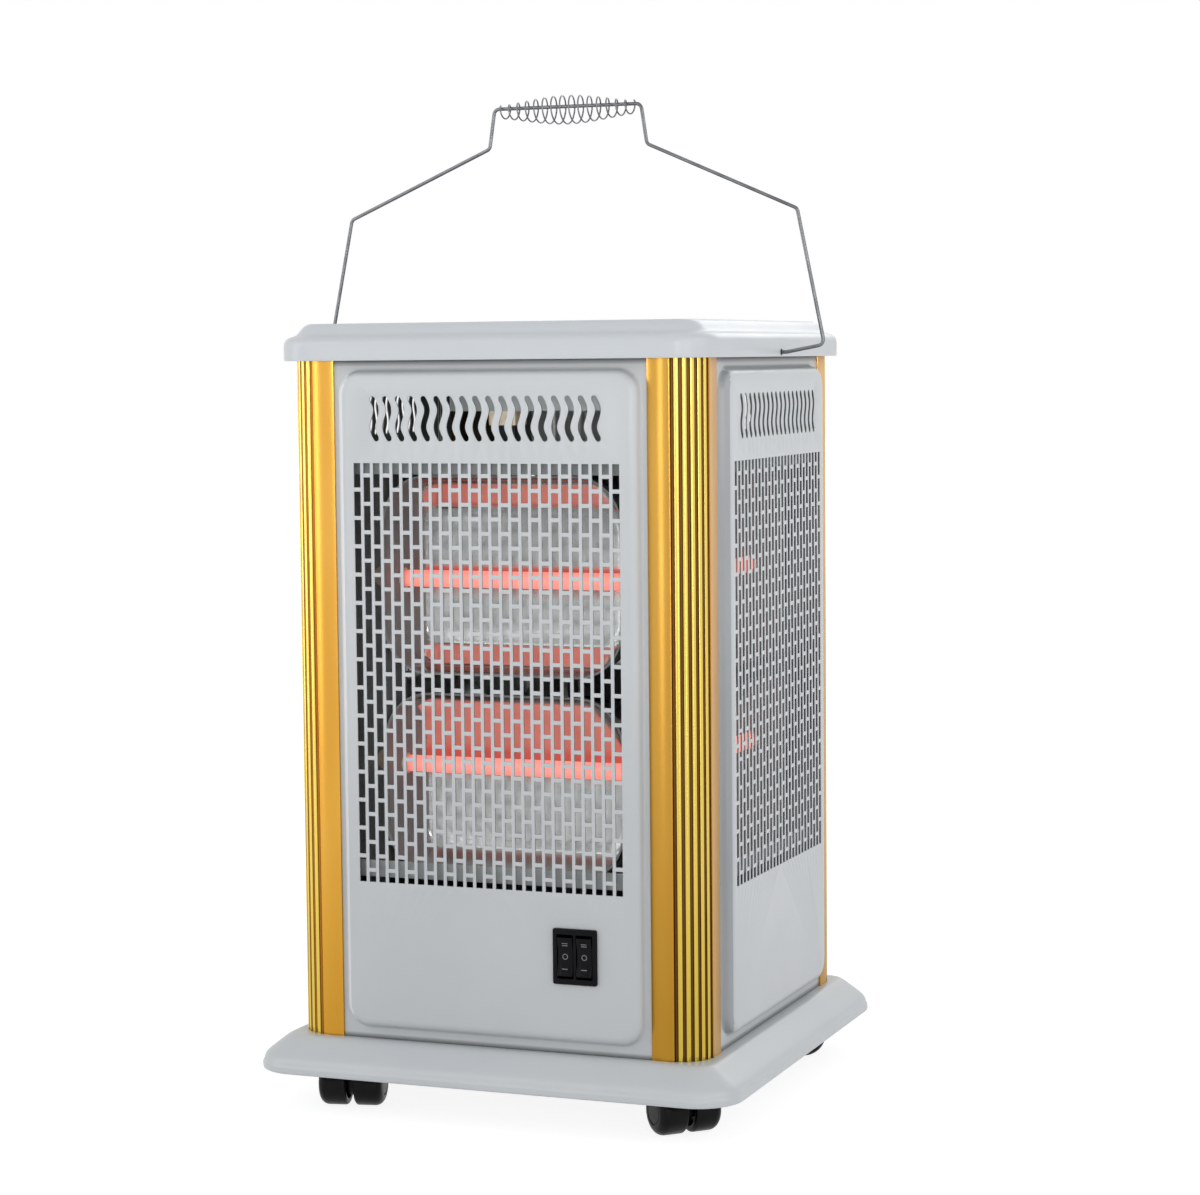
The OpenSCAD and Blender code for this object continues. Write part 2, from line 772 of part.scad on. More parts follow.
module ceramic_caps() {
  color(ceramic) for (i = [0 : 3], k = [0, 1], s = [0, 180]) along_tube(i, k) rotate([0, s, 0])
    translate([0, 0, cap_in]) difference() {
      cylinder(r = cap_r, h = cap_l);
      translate([0, 0, -over]) cylinder(r = tube_r + pin_gap, h = tube_seat + over);
      translate([0, 0, -over]) cylinder(r = filament_r + pin_gap, h = tube_seat + coil_seat + over);
    }
}

module terminal_box() {
  inner = box_half - sheet;
  color(steel) {
    difference() {
      translate([-box_half, -box_half, box_z])
        cube([2 * box_half, 2 * box_half, lid_top - sheet - box_z]);
      translate([-inner, -inner, box_z - over])
        cube([2 * inner, 2 * inner, lid_top - 2 * sheet - box_z + over]);
    }
    translate([-box_foot, inner, rest_z]) cube([2 * box_foot, sheet, box_z - rest_z + sheet]);
  }
}

module terminal_block() {
  way = block_size[0] / block_ways;
  color(ceramic) translate(block_at) difference() {
    cube(block_size);
    for (k = [0 : block_ways - 1]) translate([(k + 0.5) * way, -over, block_size[2] / 2])
      rotate([-90, 0, 0]) cylinder(r = block_bore_r, h = block_size[1] + 2 * over);
  }
}

// Leads rise in the four corners, run over the upper shelf and turn up into the terminal box
module wiring() {
  run_z = rest_z + lead_r + part_gap;
  top_z = box_z + lead_top;
  out = lead_xy * sqrt(2);
  route = [[out, tube_z[0]], [out, run_z], [lead_end, run_z], [lead_end, top_z]];
  color("white") {
    for (i = [0 : 3]) rotate([0, 0, 45 + 90 * i]) wire(route, lead_r, lead_bend);
    for (s = [-1, 1]) translate([s * riser_x, 0, deck_z]) cylinder(r = riser_r, h = top_z - deck_z);
  }
}

// A sealed tilt switch that stands on the deck
module tip_over_switch() {
  foot_at = (tilt_size - tilt_foot) / 2;
  color(black) translate([tilt_at[0], tilt_at[1], deck_z]) {
    cube(tilt_size);
    translate([foot_at[0], foot_at[1], 0]) cube(tilt_foot);
  }
}

module switch_housing() {
  color(black) translate([switch_x, -switch_face, switch_mid_z]) difference() {
    union() {
      translate([-bezel_w / 2, 0, -bezel_h / 2]) cube([bezel_w, bezel_t, bezel_h]);
      translate([-housing_w / 2, 0, -housing_h / 2]) cube([housing_w, body_depth, housing_h]);
    }
    for (s = [-1, 1]) translate([s * window_x - window_w / 2, -over, -window_h / 2])
      cube([window_w, window_depth + over, window_h]);
    translate([0, pivot_depth, 0]) rotate([0, 90, 0]) cylinder(
      r = rocker_pin_r + pin_gap,
      h = 2 * (window_x + window_w / 2 + pin_l + pin_gap),
      center = true
    );
  }
}

// A rocker with a shallow dip across its face, on two stub pins
module rocker(s) {
  front = -pivot_depth - rocker_proud;
  face = [
    [-rocker_h / 2, front],
    [-rocker_h / 4, front + 0.75 * rocker_dip],
    [0, front + rocker_dip],
    [rocker_h / 4, front + 0.75 * rocker_dip],
    [rocker_h / 2, front],
    [rocker_h / 2 - rocker_taper, rocker_back - pivot_depth],
    [rocker_h / 3, rocker_back],
    [-rocker_h / 3, rocker_back],
    [rocker_taper - rocker_h / 2, rocker_back - pivot_depth]
  ];
  color([0.13, 0.13, 0.14])
    translate([switch_x + s * window_x, pivot_depth - switch_face, switch_mid_z]) {
      rotate([90, 0, 90]) linear_extrude(rocker_w, center = true)
        polygon([for (p = face) [p[1], p[0]]]);
      rotate([0, 90, 0]) cylinder(r = rocker_pin_r, h = rocker_w + 2 * (rocker_gap + pin_l), center = true);
    }
}
module rocker_left() { rocker(-1); }
module rocker_right() { rocker(1); }

// A bushing in the back panel that the cord would leave through
module cord_gland() {
  color(black) on_side(2) translate([gland_x, -field_out, gland_mid_z]) rotate([90, 0, 0]) difference() {
    union() {
      cylinder(r = gland_flange_r, h = gland_flange_h);
      translate([0, 0, -gland_neck_l]) cylinder(r = gland_neck_r, h = gland_neck_l + eps);
      translate([0, 0, -sheet - gland_nut_h]) cylinder(r = gland_nut_r, h = gland_nut_h - slot_gap);
    }
    translate([0, 0, -gland_neck_l - over])
      cylinder(r = gland_bore_r, h = gland_neck_l + gland_flange_h + 2 * over);
  }
}

// A pan-head screw that points up from the origin
module screw() {
  cylinder(r = screw_r, h = screw_l);
  translate([0, 0, -screw_head_h]) cylinder(r = screw_head_r, h = screw_head_h);
}

module lid_screws() {
  color(steel) for (i = [0 : 3]) on_side(i)
    translate([boss_xy, boss_xy, post_top + sheet]) mirror([0, 0, 1]) screw();
}

module base_screws() {
  color(steel) for (i = [0 : 3]) on_side(i) translate([boss_xy, boss_xy, deck_low]) screw();
}

module leg_screws() {
  color(steel) for (i = [0 : 3]) on_side(i)
    translate([leg_xy, leg_xy, deck_z + sheet]) mirror([0, 0, 1]) {
      cylinder(r = screw_r, h = leg_screw_l);
      translate([0, 0, -screw_head_h]) cylinder(r = screw_head_r, h = screw_head_h);
    }
}

// The bail, one wire bent in the XZ plane
module bail() {
  right = [
    [stub_in, pivot_z],
    [stub_out, pivot_z],
    [leg_x, pivot_z + leg_rise],
    [shoulder_x, pivot_z + shoulder_rise],
    [neck_x, pivot_z + neck_rise],
    [grip_x, grip_z]
  ];
  left = [for (p = reversed(right)) [-p[0], p[1]]];
  color(steel) wire(concat(right, left), wire_r, bend_r);
}

// The coil's centre line: a barrel-shaped helix with a straight run at each end
function coil_swell(t) = pow(sin(180 * t), 1.4);
function coil_radius(t) =
  coil_end_r - coil_wire_r + (coil_mid_r - coil_end_r) * coil_swell(t);
function coil_point(t) =
  let (a = 90 + 360 * coil_n * t, r = coil_radius(t))
    [(t - 0.5) * coil_l, r * cos(a), coil_z + r * sin(a)];
coil_rings = 8 * coil_n;
function coil_path() =
  let (p = [for (k = [0 : coil_rings]) coil_point(k / coil_rings)])
    concat(
      [p[0] - coil_run(p[1] - p[0])],
      p,
      [p[coil_rings] + coil_run(p[coil_rings] - p[coil_rings - 1])]
    );
function coil_run(d) = 2 * coil_wire_r * unit([0, d[1], d[2]]);
// Least distance between turns, from the points of neighbouring turns
function coil_gap() =
  min([for (k = [0 : coil_rings - 8])
    norm(coil_point((k + 8) / coil_rings) - coil_point(k / coil_rings))]) - 2 * coil_wire_r;

// Sweeps a ring of n sides along a path
function ring(c, d, r, n) =
  let (u = unit(cross(d, [1, 0, 0.001])), v = cross(unit(d), u))
    [for (j = [0 : n - 1]) c + r * (cos(360 * j / n) * u + sin(360 * j / n) * v)];

module swept(path, r, n) {
  last = len(path) - 1;
  points = [for (k = [0 : last]) each
    ring(path[k], path[min(k + 1, last)] - path[max(k - 1, 0)], r, n)];
  sides = [for (k = [0 : last - 1], j = [0 : n - 1]) each
    let (a = k * n + j, b = k * n + (j + 1) % n) [[a, b, a + n], [b, b + n, a + n]]];
  ends = [for (j = [1 : n - 2]) each
    [[0, j + 1, j], [last * n, last * n + j, last * n + j + 1]]];
  polyhedron(points, concat(sides, ends));
}

module grip_coil() {
  color(steel) swept(coil_path(), coil_wire_r, 6);
}

// Corner c: 0 front left, 1 front right, 2 back right, 3 back left
function corner_sign(c) = [[-1, -1], [1, -1], [1, 1], [-1, 1]][c];
module at_swivel(c) {
  s = corner_sign(c);
  at = corner_xy - swivel_xy;
  translate([s[0] * at, s[1] * at, 0]) rotate([0, 0, caster_turn[c]]) children();
}
module along_axle(c) {
  at_swivel(c) translate([0, -trail, wheel_r]) rotate([0, 90, 0]) children();
}

module caster_sockets() {
  color(black) for (c = [0 : 3]) at_swivel(c) difference() {
    translate([0, 0, socket_low]) cylinder(r = socket_r, h = deck_low - socket_low);
    translate([0, 0, socket_low - over])
      cylinder(r = stem_r + pin_gap, h = stem_top + part_gap - socket_low + over);
  }
}

// The fork: a web between the wheels, a mudguard over them and a stem
module caster(c) {
  color(black) difference() {
    union() {
      along_axle(c) {
        cylinder(r = hub_web_r, h = web_t, center = true);
        rotate([0, 0, guard_from]) rotate_extrude(angle = guard_turn) {
          translate([guard_in, -caster_half]) square([guard_t, 2 * caster_half]);
          translate([0, -web_t / 2]) square([guard_in + eps, web_t]);
        }
      }
      at_swivel(c) {
        translate([0, 0, wheel_r + guard_in - swivel_rise])
          cylinder(r = swivel_boss_r, h = guard_t + 2 * swivel_rise);
        translate([0, 0, hood_top - eps]) cylinder(r = stem_r, h = stem_top - hood_top);
      }
    }
    along_axle(c) {
      cylinder(r = axle_r + pin_gap / 2, h = web_t + 2 * over, center = true);
      for (s = [-1, 1]) translate([0, 0, s * (web_t / 2 + wheel_w / 2 + wheel_gap)])
        cylinder(r = guard_in, h = wheel_w + 2 * wheel_gap - eps, center = true);
    }
  }
}
module caster_front_left() { caster(0); }
module caster_front_right() { caster(1); }
module caster_back_right() { caster(2); }
module caster_back_left() { caster(3); }

module axle(c) {
  color(steel) along_axle(c) cylinder(r = axle_r, h = 2 * (caster_half - hub_cover), center = true);
}
module axle_front_left() { axle(0); }
module axle_front_right() { axle(1); }
module axle_back_right() { axle(2); }
module axle_back_left() { axle(3); }

// A wheel with a domed outer face, closed over the axle's end
module wheel(c, s) {
  color([0.1, 0.1, 0.1]) along_axle(c) rotate([0, s > 0 ? 0 : 180, 0])
    translate([0, 0, web_t / 2 + wheel_gap]) difference() {
      rotate_extrude() {
        square([wheel_r - wheel_round, wheel_w]);
        square([wheel_r - inner_round, wheel_w - wheel_round]);
        translate([0, inner_round]) square([wheel_r, wheel_w - wheel_round - inner_round]);
        translate([wheel_r - wheel_round, wheel_w - wheel_round]) circle(wheel_round);
        translate([wheel_r - inner_round, inner_round]) circle(inner_round);
      }
      translate([0, 0, -over]) cylinder(r = axle_r + pin_gap, h = wheel_w - hub_cover + over + pin_gap);
      translate([0, 0, -over]) difference() {
        cylinder(r = wheel_r - tread_t, h = recess_d + over);
        cylinder(r = hub_r, h = recess_d + over);
      }
    }
}
module wheel_front_left_a() { wheel(0, -1); }
module wheel_front_left_b() { wheel(0, 1); }
module wheel_front_right_a() { wheel(1, -1); }
module wheel_front_right_b() { wheel(1, 1); }
module wheel_back_right_a() { wheel(2, -1); }
module wheel_back_right_b() { wheel(2, 1); }
module wheel_back_left_a() { wheel(3, -1); }
module wheel_back_left_b() { wheel(3, 1); }

base_tray();
lid();
lower_shelf();
upper_shelf();
post_front_left();
post_front_right();
post_back_right();
post_back_left();
panel_front();
panel_right();
panel_back();
panel_left();
reflector_front_lower();
reflector_front_upper();
reflector_right_lower();
reflector_right_upper();
reflector_back_lower();
reflector_back_upper();
reflector_left_lower();
reflector_left_upper();
brackets_front();
brackets_right();
brackets_back();
brackets_left();
tubes_front();
tubes_right();
tubes_back();
tubes_left();
filaments();
ceramic_caps();
terminal_box();
terminal_block();
wiring();
tip_over_switch();
switch_housing();
rocker_left();
rocker_right();
cord_gland();
lid_screws();
base_screws();
leg_screws();
bail();
grip_coil();
caster_sockets();
caster_front_left();
caster_front_right();
caster_back_right();
caster_back_left();
axle_front_left();
axle_front_right();
axle_back_right();
axle_back_left();
wheel_front_left_a();
wheel_front_left_b();
wheel_front_right_a();
wheel_front_right_b();
wheel_back_right_a();
wheel_back_right_b();
wheel_back_left_a();
wheel_back_left_b();
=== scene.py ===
from math import cos, hypot, pi, radians, sin, tan

import bmesh
import bpy
from mathutils import Matrix, Vector


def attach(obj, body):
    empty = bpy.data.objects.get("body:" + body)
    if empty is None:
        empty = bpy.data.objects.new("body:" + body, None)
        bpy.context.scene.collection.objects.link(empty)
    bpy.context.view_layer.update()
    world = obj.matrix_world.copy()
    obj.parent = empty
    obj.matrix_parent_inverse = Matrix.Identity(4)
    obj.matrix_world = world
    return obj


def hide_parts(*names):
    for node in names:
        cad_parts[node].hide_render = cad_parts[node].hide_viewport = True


# A four-sided quartz heater: perforated enamel panels between gold corner posts, mirrored dishes and glowing
# tubes behind them, a twin switch, a bail with a coiled grip, and casters. Its front faces -Y.

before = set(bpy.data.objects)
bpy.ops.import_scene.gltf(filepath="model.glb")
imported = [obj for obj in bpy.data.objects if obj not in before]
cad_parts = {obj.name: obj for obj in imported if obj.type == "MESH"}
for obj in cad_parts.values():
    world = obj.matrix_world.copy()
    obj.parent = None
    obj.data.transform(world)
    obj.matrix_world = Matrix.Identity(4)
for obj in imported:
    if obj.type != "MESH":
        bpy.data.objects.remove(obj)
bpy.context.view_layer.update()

# Sizes are in millimetres, as in the part's source
MM = 0.001
SIDES = ("front", "right", "back", "left")
CORNERS = ("front_left", "front_right", "back_right", "back_left")
# The signs of a square's corners, counter-clockwise from the lower left, in the order of CORNERS
SQUARE = ((-1, -1), (1, -1), (1, 1), (-1, 1))
SHEET = 1.0

BODY_HALF = 142.5
POST_R = 21.5
CORNER = BODY_HALF - POST_R
WING_RUN = 13
WING_FOOT = CORNER - WING_RUN
GROOVE_DEEP = 1.55
DECK_Z = 50.0
POST_TOP = 505.0

BORDER_OUT = 141.2
FIELD_OUT = 148.5
PANEL_HALF = 116.8
FIELD_HALF = 103.5
FIELD_LOW = 58.5
FIELD_HIGH = 486.5
FIELD_R = 15.0
MESH_Z = 155.0
MESH_PITCH = 6.87
MESH_COLS = 27
MESH_ROWS = 15
SLOT_W = 4.6
SLOT_H = 15.7
SLOT_BAR = 2.64
VENT_Z = 455.96
VENT_N = 18
VENT_PITCH = 9.0
VENT_H = 29.0
VENT_W = 3.9

# The twin switch: half sizes of its bezel, its body and a rocker's window, and depths behind the bezel's face
SWITCH_X, SWITCH_Z = 59.0, 114.5
SWITCH_CUT = (13.1, 16.1)
BEZEL_T = 2.0
BEZEL_HALF = (15, 18)
BODY_FIT = (13, 16)
BODY_DEEP = 26
ROCKER_X = 6.5
WINDOW_HALF = (5.5, 14)
WELL_DEEP = 11.0
PIVOT_DEEP = 4.4
GLAND_X, GLAND_Z, GLAND_HOLE_R = 60.0, 78.0, 6.6

LID_HALF = 150.4
LID_R = 28.0
LID_LOW = 493.3
LID_TOP = 517.4
BASE_HALF = 167.2
BASE_R = 30.0
BASE_LOW = 27.4
BOSS_XY = CORNER + 1.5

TUBE_Y = 100.0
TUBE_Z = (227.0, 350.0)
TUBE_R = 5.5
TUBE_HALF = 81.0

SWIVEL_XY = 113.0
TURNS = (13, 45, 120, -40)
TRAIL = 12.0
WHEEL_R = 15.5
WHEEL_W = 19.0
# The fork's web between a caster's two wheels, and the gap beside it
WEB_T = 4.0
WHEEL_GAP = 0.5

PIVOT_Z = 496.3
GRIP_Z = 662.5
COIL_Z = 660.35


# ---------------------------------------------------------------- mesh tools

def turned(p, i):
    """The point after i quarter turns about Z: a front point becomes one of the right, back or left."""
    x, y, z = p
    for _ in range(i % 4):
        x, y = -y, x
    return x, y, z


def catmull(points, steps):
    """A smooth line through the points of a profile."""
    out = []
    last = len(points) - 1
    for k in range(last):
        a, b, c, d = (points[max(k - 1, 0)], points[k], points[k + 1], points[min(k + 2, last)])
        for j in range(steps):
            t = j / steps
            out.append(tuple(
                0.5 * (2 * b[n] + (c[n] - a[n]) * t
                       + (2 * a[n] - 5 * b[n] + 4 * c[n] - d[n]) * t * t
                       + (3 * b[n] - a[n] - 3 * c[n] + d[n]) * t ** 3)
                for n in range(len(b))))
    return out + [tuple(points[-1])]


def offset_line(points, t):
    """An open profile moved by t to its left."""
    out = []
    last = len(points) - 1
    for k, p in enumerate(points):
        a, b = points[max(k - 1, 0)], points[min(k + 1, last)]
        dx, dy = b[0] - a[0], b[1] - a[1]
        size = hypot(dx, dy)
        out.append((p[0] - t * dy / size, p[1] + t * dx / size))
    return out


def grown(path, t):
    """A closed outline, counter-clockwise, moved outward by t."""
    out = []
    n = len(path)
    for k in range(n):
        a, b, c = path[k - 1], path[k], path[(k + 1) % n]
        u = Vector((b[1] - a[1], a[0] - b[0])).normalized()
        v = Vector((c[1] - b[1], b[0] - c[0])).normalized()
        m = (u + v) / (1 + u.dot(v))
        out.append((b[0] + t * m.x, b[1] + t * m.y))
    return out


def rounded_rect(hx, hy, r, steps):
    out = []
    for sx, sy, start in ((1, 1, 0), (-1, 1, 1), (-1, -1, 2), (1, -1, 3)):
        for k in range(steps + 1):
            a = (start + k / steps) * pi / 2
            out.append((sx * (hx - r) + r * cos(a), sy * (hy - r) + r * sin(a)))
    return out


def circle(cx, cy, r, steps=24):
    return [(cx + r * cos(2 * pi * k / steps), cy + r * sin(2 * pi * k / steps)) for k in range(steps)]


class Piece:
    """Points in millimetres, faces, and flat areas with holes that are filled when it is made."""

    def __init__(self):
        self.points, self.faces, self.fills = [], [], []

    def ring(self, points):
        start = len(self.points)
        self.points += [tuple(p) for p in points]
        return list(range(start, len(self.points)))

    def bridge(self, a, b, closed=True):
        n = len(a)
        for k in range(n if closed else n - 1):
            m = (k + 1) % n
            self.faces.append((a[k], a[m], b[m], b[k]))

    def loft(self, rings):
        made = [self.ring(r) for r in rings]
        for a, b in zip(made, made[1:]):
            self.bridge(a, b)
        return made

    def cap(self, ring):
        self.faces.append(tuple(ring))

    def fill(self, outer, holes=()):
        self.fills.append([outer, *holes])

    def make(self, name, body, look, replaces=(), smooth=40, extra=()):
        bm = bmesh.new()
        verts = [bm.verts.new([c * MM for c in p]) for p in self.points]
        for f in self.faces:
            bm.faces.new([verts[k] for k in f])
        for loops in self.fills:
            edges = []
            for loop in loops:
                for a, b in zip(loop, loop[1:] + loop[:1]):
                    pair = (verts[a], verts[b])
                    edges.append(bm.edges.get(pair) or bm.edges.new(pair))
            bmesh.ops.triangle_fill(bm, use_beauty=True, use_dissolve=False, edges=edges)
        bmesh.ops.remove_doubles(bm, verts=bm.verts, dist=2e-6)
        bmesh.ops.recalc_face_normals(bm, faces=bm.faces)
        data = bpy.data.meshes.new(name)
        bm.to_mesh(data)
        bm.free()
        data.shade_smooth()
        data.set_sharp_from_angle(angle=radians(smooth))
        obj = bpy.data.objects.new(name, data)
        bpy.context.scene.collection.objects.link(obj)
        data.materials.append(look)
        for other in extra:
            data.materials.append(other)
        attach(obj, body)
        if replaces:
            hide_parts(*replaces)
        return obj

    def lathe(self, profile, place, steps):
        """Turns a profile of (radius, height) about the axis that place gives, and closes its ends."""
        rings = []
        for r, h in profile:
            rings.append([place(r * cos(2 * pi * k / steps), r * sin(2 * pi * k / steps), h)
                          for k in range(steps)])
        made = self.loft(rings)
        self.cap(made[0][::-1])
        self.cap(made[-1])

    def sweep(self, path, r, sides):
        """A round wire of radius r along a line of points."""
        pts = [Vector(p) for p in path]
        rings = []
        side = None
        for k, p in enumerate(pts):
            d = (pts[min(k + 1, len(pts) - 1)] - pts[max(k - 1, 0)]).normalized()
            if side is None:
                side = d.orthogonal().normalized()
            side = (side - d * side.dot(d)).normalized()
            other = d.cross(side)
            rings.append([p + r * (cos(2 * pi * j / sides) * side + sin(2 * pi * j / sides) * other)
                          for j in range(sides)])
        made = self.loft(rings)
        self.cap(made[0][::-1])
        self.cap(made[-1])


# ---------------------------------------------------------------- materials

def base_of(name):
    mat = bpy.data.materials.new(name)
    mat.use_nodes = True
    tree = mat.node_tree
    return mat, tree, tree.nodes["Principled BSDF"]


def object_place(tree):
    return tree.nodes.new("ShaderNodeTexCoord").outputs["Object"]


def math_in(tree, operation, *values):
    """A Math node. Each value is a number or another node's output."""
    node = tree.nodes.new("ShaderNodeMath")
    node.operation = operation
    for socket, value in zip(node.inputs, values):
        if isinstance(value, (int, float)):
            socket.default_value = value
        else:
            tree.links.new(value, socket)
    return node.outputs[0]


def range_in(tree, value, start, end):
    """Maps a value from the range start to the range end."""
    node = tree.nodes.new("ShaderNodeMapRange")
    node.inputs["From Min"].default_value, node.inputs["From Max"].default_value = start
    node.inputs["To Min"].default_value, node.inputs["To Max"].default_value = end
    tree.links.new(value, node.inputs["Value"])
    return node.outputs["Result"]


def mix_in(tree, factor, a, b, blend="MIX"):
    """Mixes the colours a and b. The factor is a number or another node's output."""
    node = tree.nodes.new("ShaderNodeMix")
    node.data_type = "RGBA"
    node.blend_type = blend
    if isinstance(factor, float):
        node.inputs[0].default_value = factor
    else:
        tree.links.new(factor, node.inputs[0])
    tree.links.new(a, node.inputs[6])
    tree.links.new(b, node.inputs[7])
    return node.outputs[2]


def noise_in(tree, scale, detail, grain=(1, 1, 1)):
    stretch = tree.nodes.new("ShaderNodeMapping")
    stretch.inputs["Scale"].default_value = grain
    noise = tree.nodes.new("ShaderNodeTexNoise")
    noise.inputs["Scale"].default_value = scale
    noise.inputs["Detail"].default_value = detail
    tree.links.new(object_place(tree), stretch.inputs["Vector"])
    tree.links.new(stretch.outputs["Vector"], noise.inputs["Vector"])
    return noise.outputs["Fac"]


def ramp_in(tree, source, stops):
    ramp = tree.nodes.new("ShaderNodeValToRGB")
    while len(ramp.color_ramp.elements) < len(stops):
        ramp.color_ramp.elements.new(0.5)
    for element, (where, colour) in zip(ramp.color_ramp.elements, stops):
        element.position = where
        element.color = (*colour, 1)
    tree.links.new(source, ramp.inputs["Fac"])
    return ramp.outputs["Color"]


def toned(tree, colour, stops, axis="Z", span=(0.05, 0.5)):
    """The colour times a ramp that runs along one axis of the object, between two places in metres."""
    split = tree.nodes.new("ShaderNodeSeparateXYZ")
    tree.links.new(object_place(tree), split.inputs["Vector"])
    along = range_in(tree, split.outputs[axis], span, (0.0, 1.0))
    return mix_in(tree, 1.0, colour, ramp_in(tree, along, stops), "MULTIPLY")


def material(name, dark, light, rough, scale, metal=0.0, grain=(1, 1, 1), bump=(900, 0.03),
             rough_swing=0.06, coat=0.0, specular=0.5, tones=None, span=(0.05, 0.5), sides=None):
    """A surface whose colour, gloss and relief vary a little, each from its own noise.

    tones is a ramp up its height between the two places of span, and sides is one across the body's width; in
    this script both paint light and shade into the colour.
    """
    mat, tree, shader = base_of(name)
    colour = ramp_in(tree, noise_in(tree, scale, 4, grain), [(0.35, dark), (0.65, light)])
    if tones:
        colour = toned(tree, colour, tones, span=span)
    if sides:
        colour = toned(tree, colour, sides, "X", (-BODY_HALF * MM, BODY_HALF * MM))
    tree.links.new(colour, shader.inputs["Base Color"])
    gloss = noise_in(tree, scale * 5, 3, grain)
    tree.links.new(range_in(tree, gloss, (0.0, 1.0), (rough - rough_swing, rough + rough_swing)),
                   shader.inputs["Roughness"])
    lift = tree.nodes.new("ShaderNodeBump")
    lift.inputs["Strength"].default_value = bump[1]
    lift.inputs["Distance"].default_value = 0.001
    tree.links.new(noise_in(tree, bump[0], 2, grain), lift.inputs["Height"])
    tree.links.new(lift.outputs["Normal"], shader.inputs["Normal"])
    shader.inputs["Metallic"].default_value = metal
    shader.inputs["Coat Weight"].default_value = coat
    shader.inputs["Coat Roughness"].default_value = 0.12
    shader.inputs["IOR"].default_value = 1.5
    shader.inputs["Specular IOR Level"].default_value = specular
    return mat


def even(tone):
    return tone, tone, tone


def right_half_shade(*tone):
    """Stops across the body that leave its left half as it is and paint shade on its right half."""
    return [(0.0, WHITE), (0.45, WHITE), (0.55, tone), (1.0, tone)]


WHITE = even(1.0)
# Painted shade: the enamel is painted darker low down, on the base, than up at the lid
ENAMEL_PAINTED_SHADE = [(0.0, (0.87, 0.87, 0.865)), (0.1, (0.87, 0.87, 0.865)), (0.9, WHITE)]
enamel = material("enamel", (0.625, 0.645, 0.665), (0.66, 0.68, 0.695), 0.36, scale=7,
                  bump=(700, 0.05), coat=0.1, tones=ENAMEL_PAINTED_SHADE)
# A panel is shaded towards its foot, and its edges lie in the dark under the lid and on the deck
PANEL_TONES = [(0.0, even(0.16)), (0.0032, even(0.16)), (0.0052, (0.82, 0.82, 0.83)),
               (0.25, (0.84, 0.84, 0.845)), (0.6, even(0.94)), (0.9, WHITE), (0.9785, WHITE),
               (0.982, (0.26, 0.26, 0.27))]
panel_enamel = material("panel_enamel", (0.61, 0.628, 0.636), (0.645, 0.66, 0.665), 0.34, scale=7,
                        bump=(700, 0.05), coat=0.2, tones=PANEL_TONES)
# Painted light and shade: the step beside the front field is painted lighter than the field as a highlight,
# and the one beside the right field is painted darker as shade
painted_highlight_step = material("painted_highlight_step", (0.80, 0.81, 0.84), (0.84, 0.85, 0.88), 0.34, scale=7,
                      bump=(700, 0.05), coat=0.2, tones=PANEL_TONES)
painted_shade_step = material("painted_shade_step", (0.38, 0.40, 0.42), (0.42, 0.44, 0.46), 0.34, scale=7,
                       bump=(700, 0.05), coat=0.1, tones=PANEL_TONES)
# Painted shade: the panels' inner faces and the walls of their punched holes are painted dark grey
painted_shade_inside = material("painted_shade_inside", (0.12, 0.135, 0.13), (0.18, 0.20, 0.19), 0.5, scale=20, bump=(400, 0.08))
painted_shade_hole_wall = material("painted_shade_hole_wall", (0.12, 0.125, 0.135), (0.16, 0.165, 0.175), 0.5, scale=20, bump=(400, 0.08))

# Painted shade: the posts' gold is painted darker towards the foot, and the right posts darker than the left
# ones
GOLD_PAINTED_SHADE = [(0.0, (0.62, 0.59, 0.36)), (0.5, (0.79, 0.76, 0.64)), (1.0, WHITE)]
GOLD = {"scale": 25, "grain": (1.5, 1.5, 0.3), "bump": (500, 0.015), "tones": GOLD_PAINTED_SHADE}
gold = material("gold", (0.80, 0.42, 0.075), (0.86, 0.47, 0.095), 0.22, metal=1.0, rough_swing=0.03,
                sides=right_half_shade(0.74, 0.76, 0.78), **GOLD)
# Painted sheen: the post wings that face left and right are painted a paler, barely metallic gold
painted_sheen_gold = material("painted_sheen_gold", (0.88, 0.52, 0.24), (0.94, 0.57, 0.28), 0.5, metal=0.12, **GOLD)
# Painted highlights: the reeds' crests are painted a brighter yellow gold
crest_highlight_gold = material("crest_highlight_gold", (0.97, 0.74, 0.17), (1.0, 0.79, 0.20), 0.18, metal=1.0, rough_swing=0.03,
                      sides=right_half_shade(0.86, 0.86, 0.86), **GOLD)
# Painted shade: the grooves are painted a dark brown gold
groove_shade_gold = material("groove_shade_gold", (0.42, 0.19, 0.028), (0.52, 0.24, 0.04), 0.4, metal=0.8,
                       sides=right_half_shade(0.36, 0.33, 0.33), **GOLD)
# Painted shade: the inside of a post's wall is painted near black
post_inside_shade = material("post_inside_shade", (0.030, 0.022, 0.012), (0.045, 0.033, 0.018), 0.5, metal=0.4,
                       scale=30, bump=(500, 0.03))

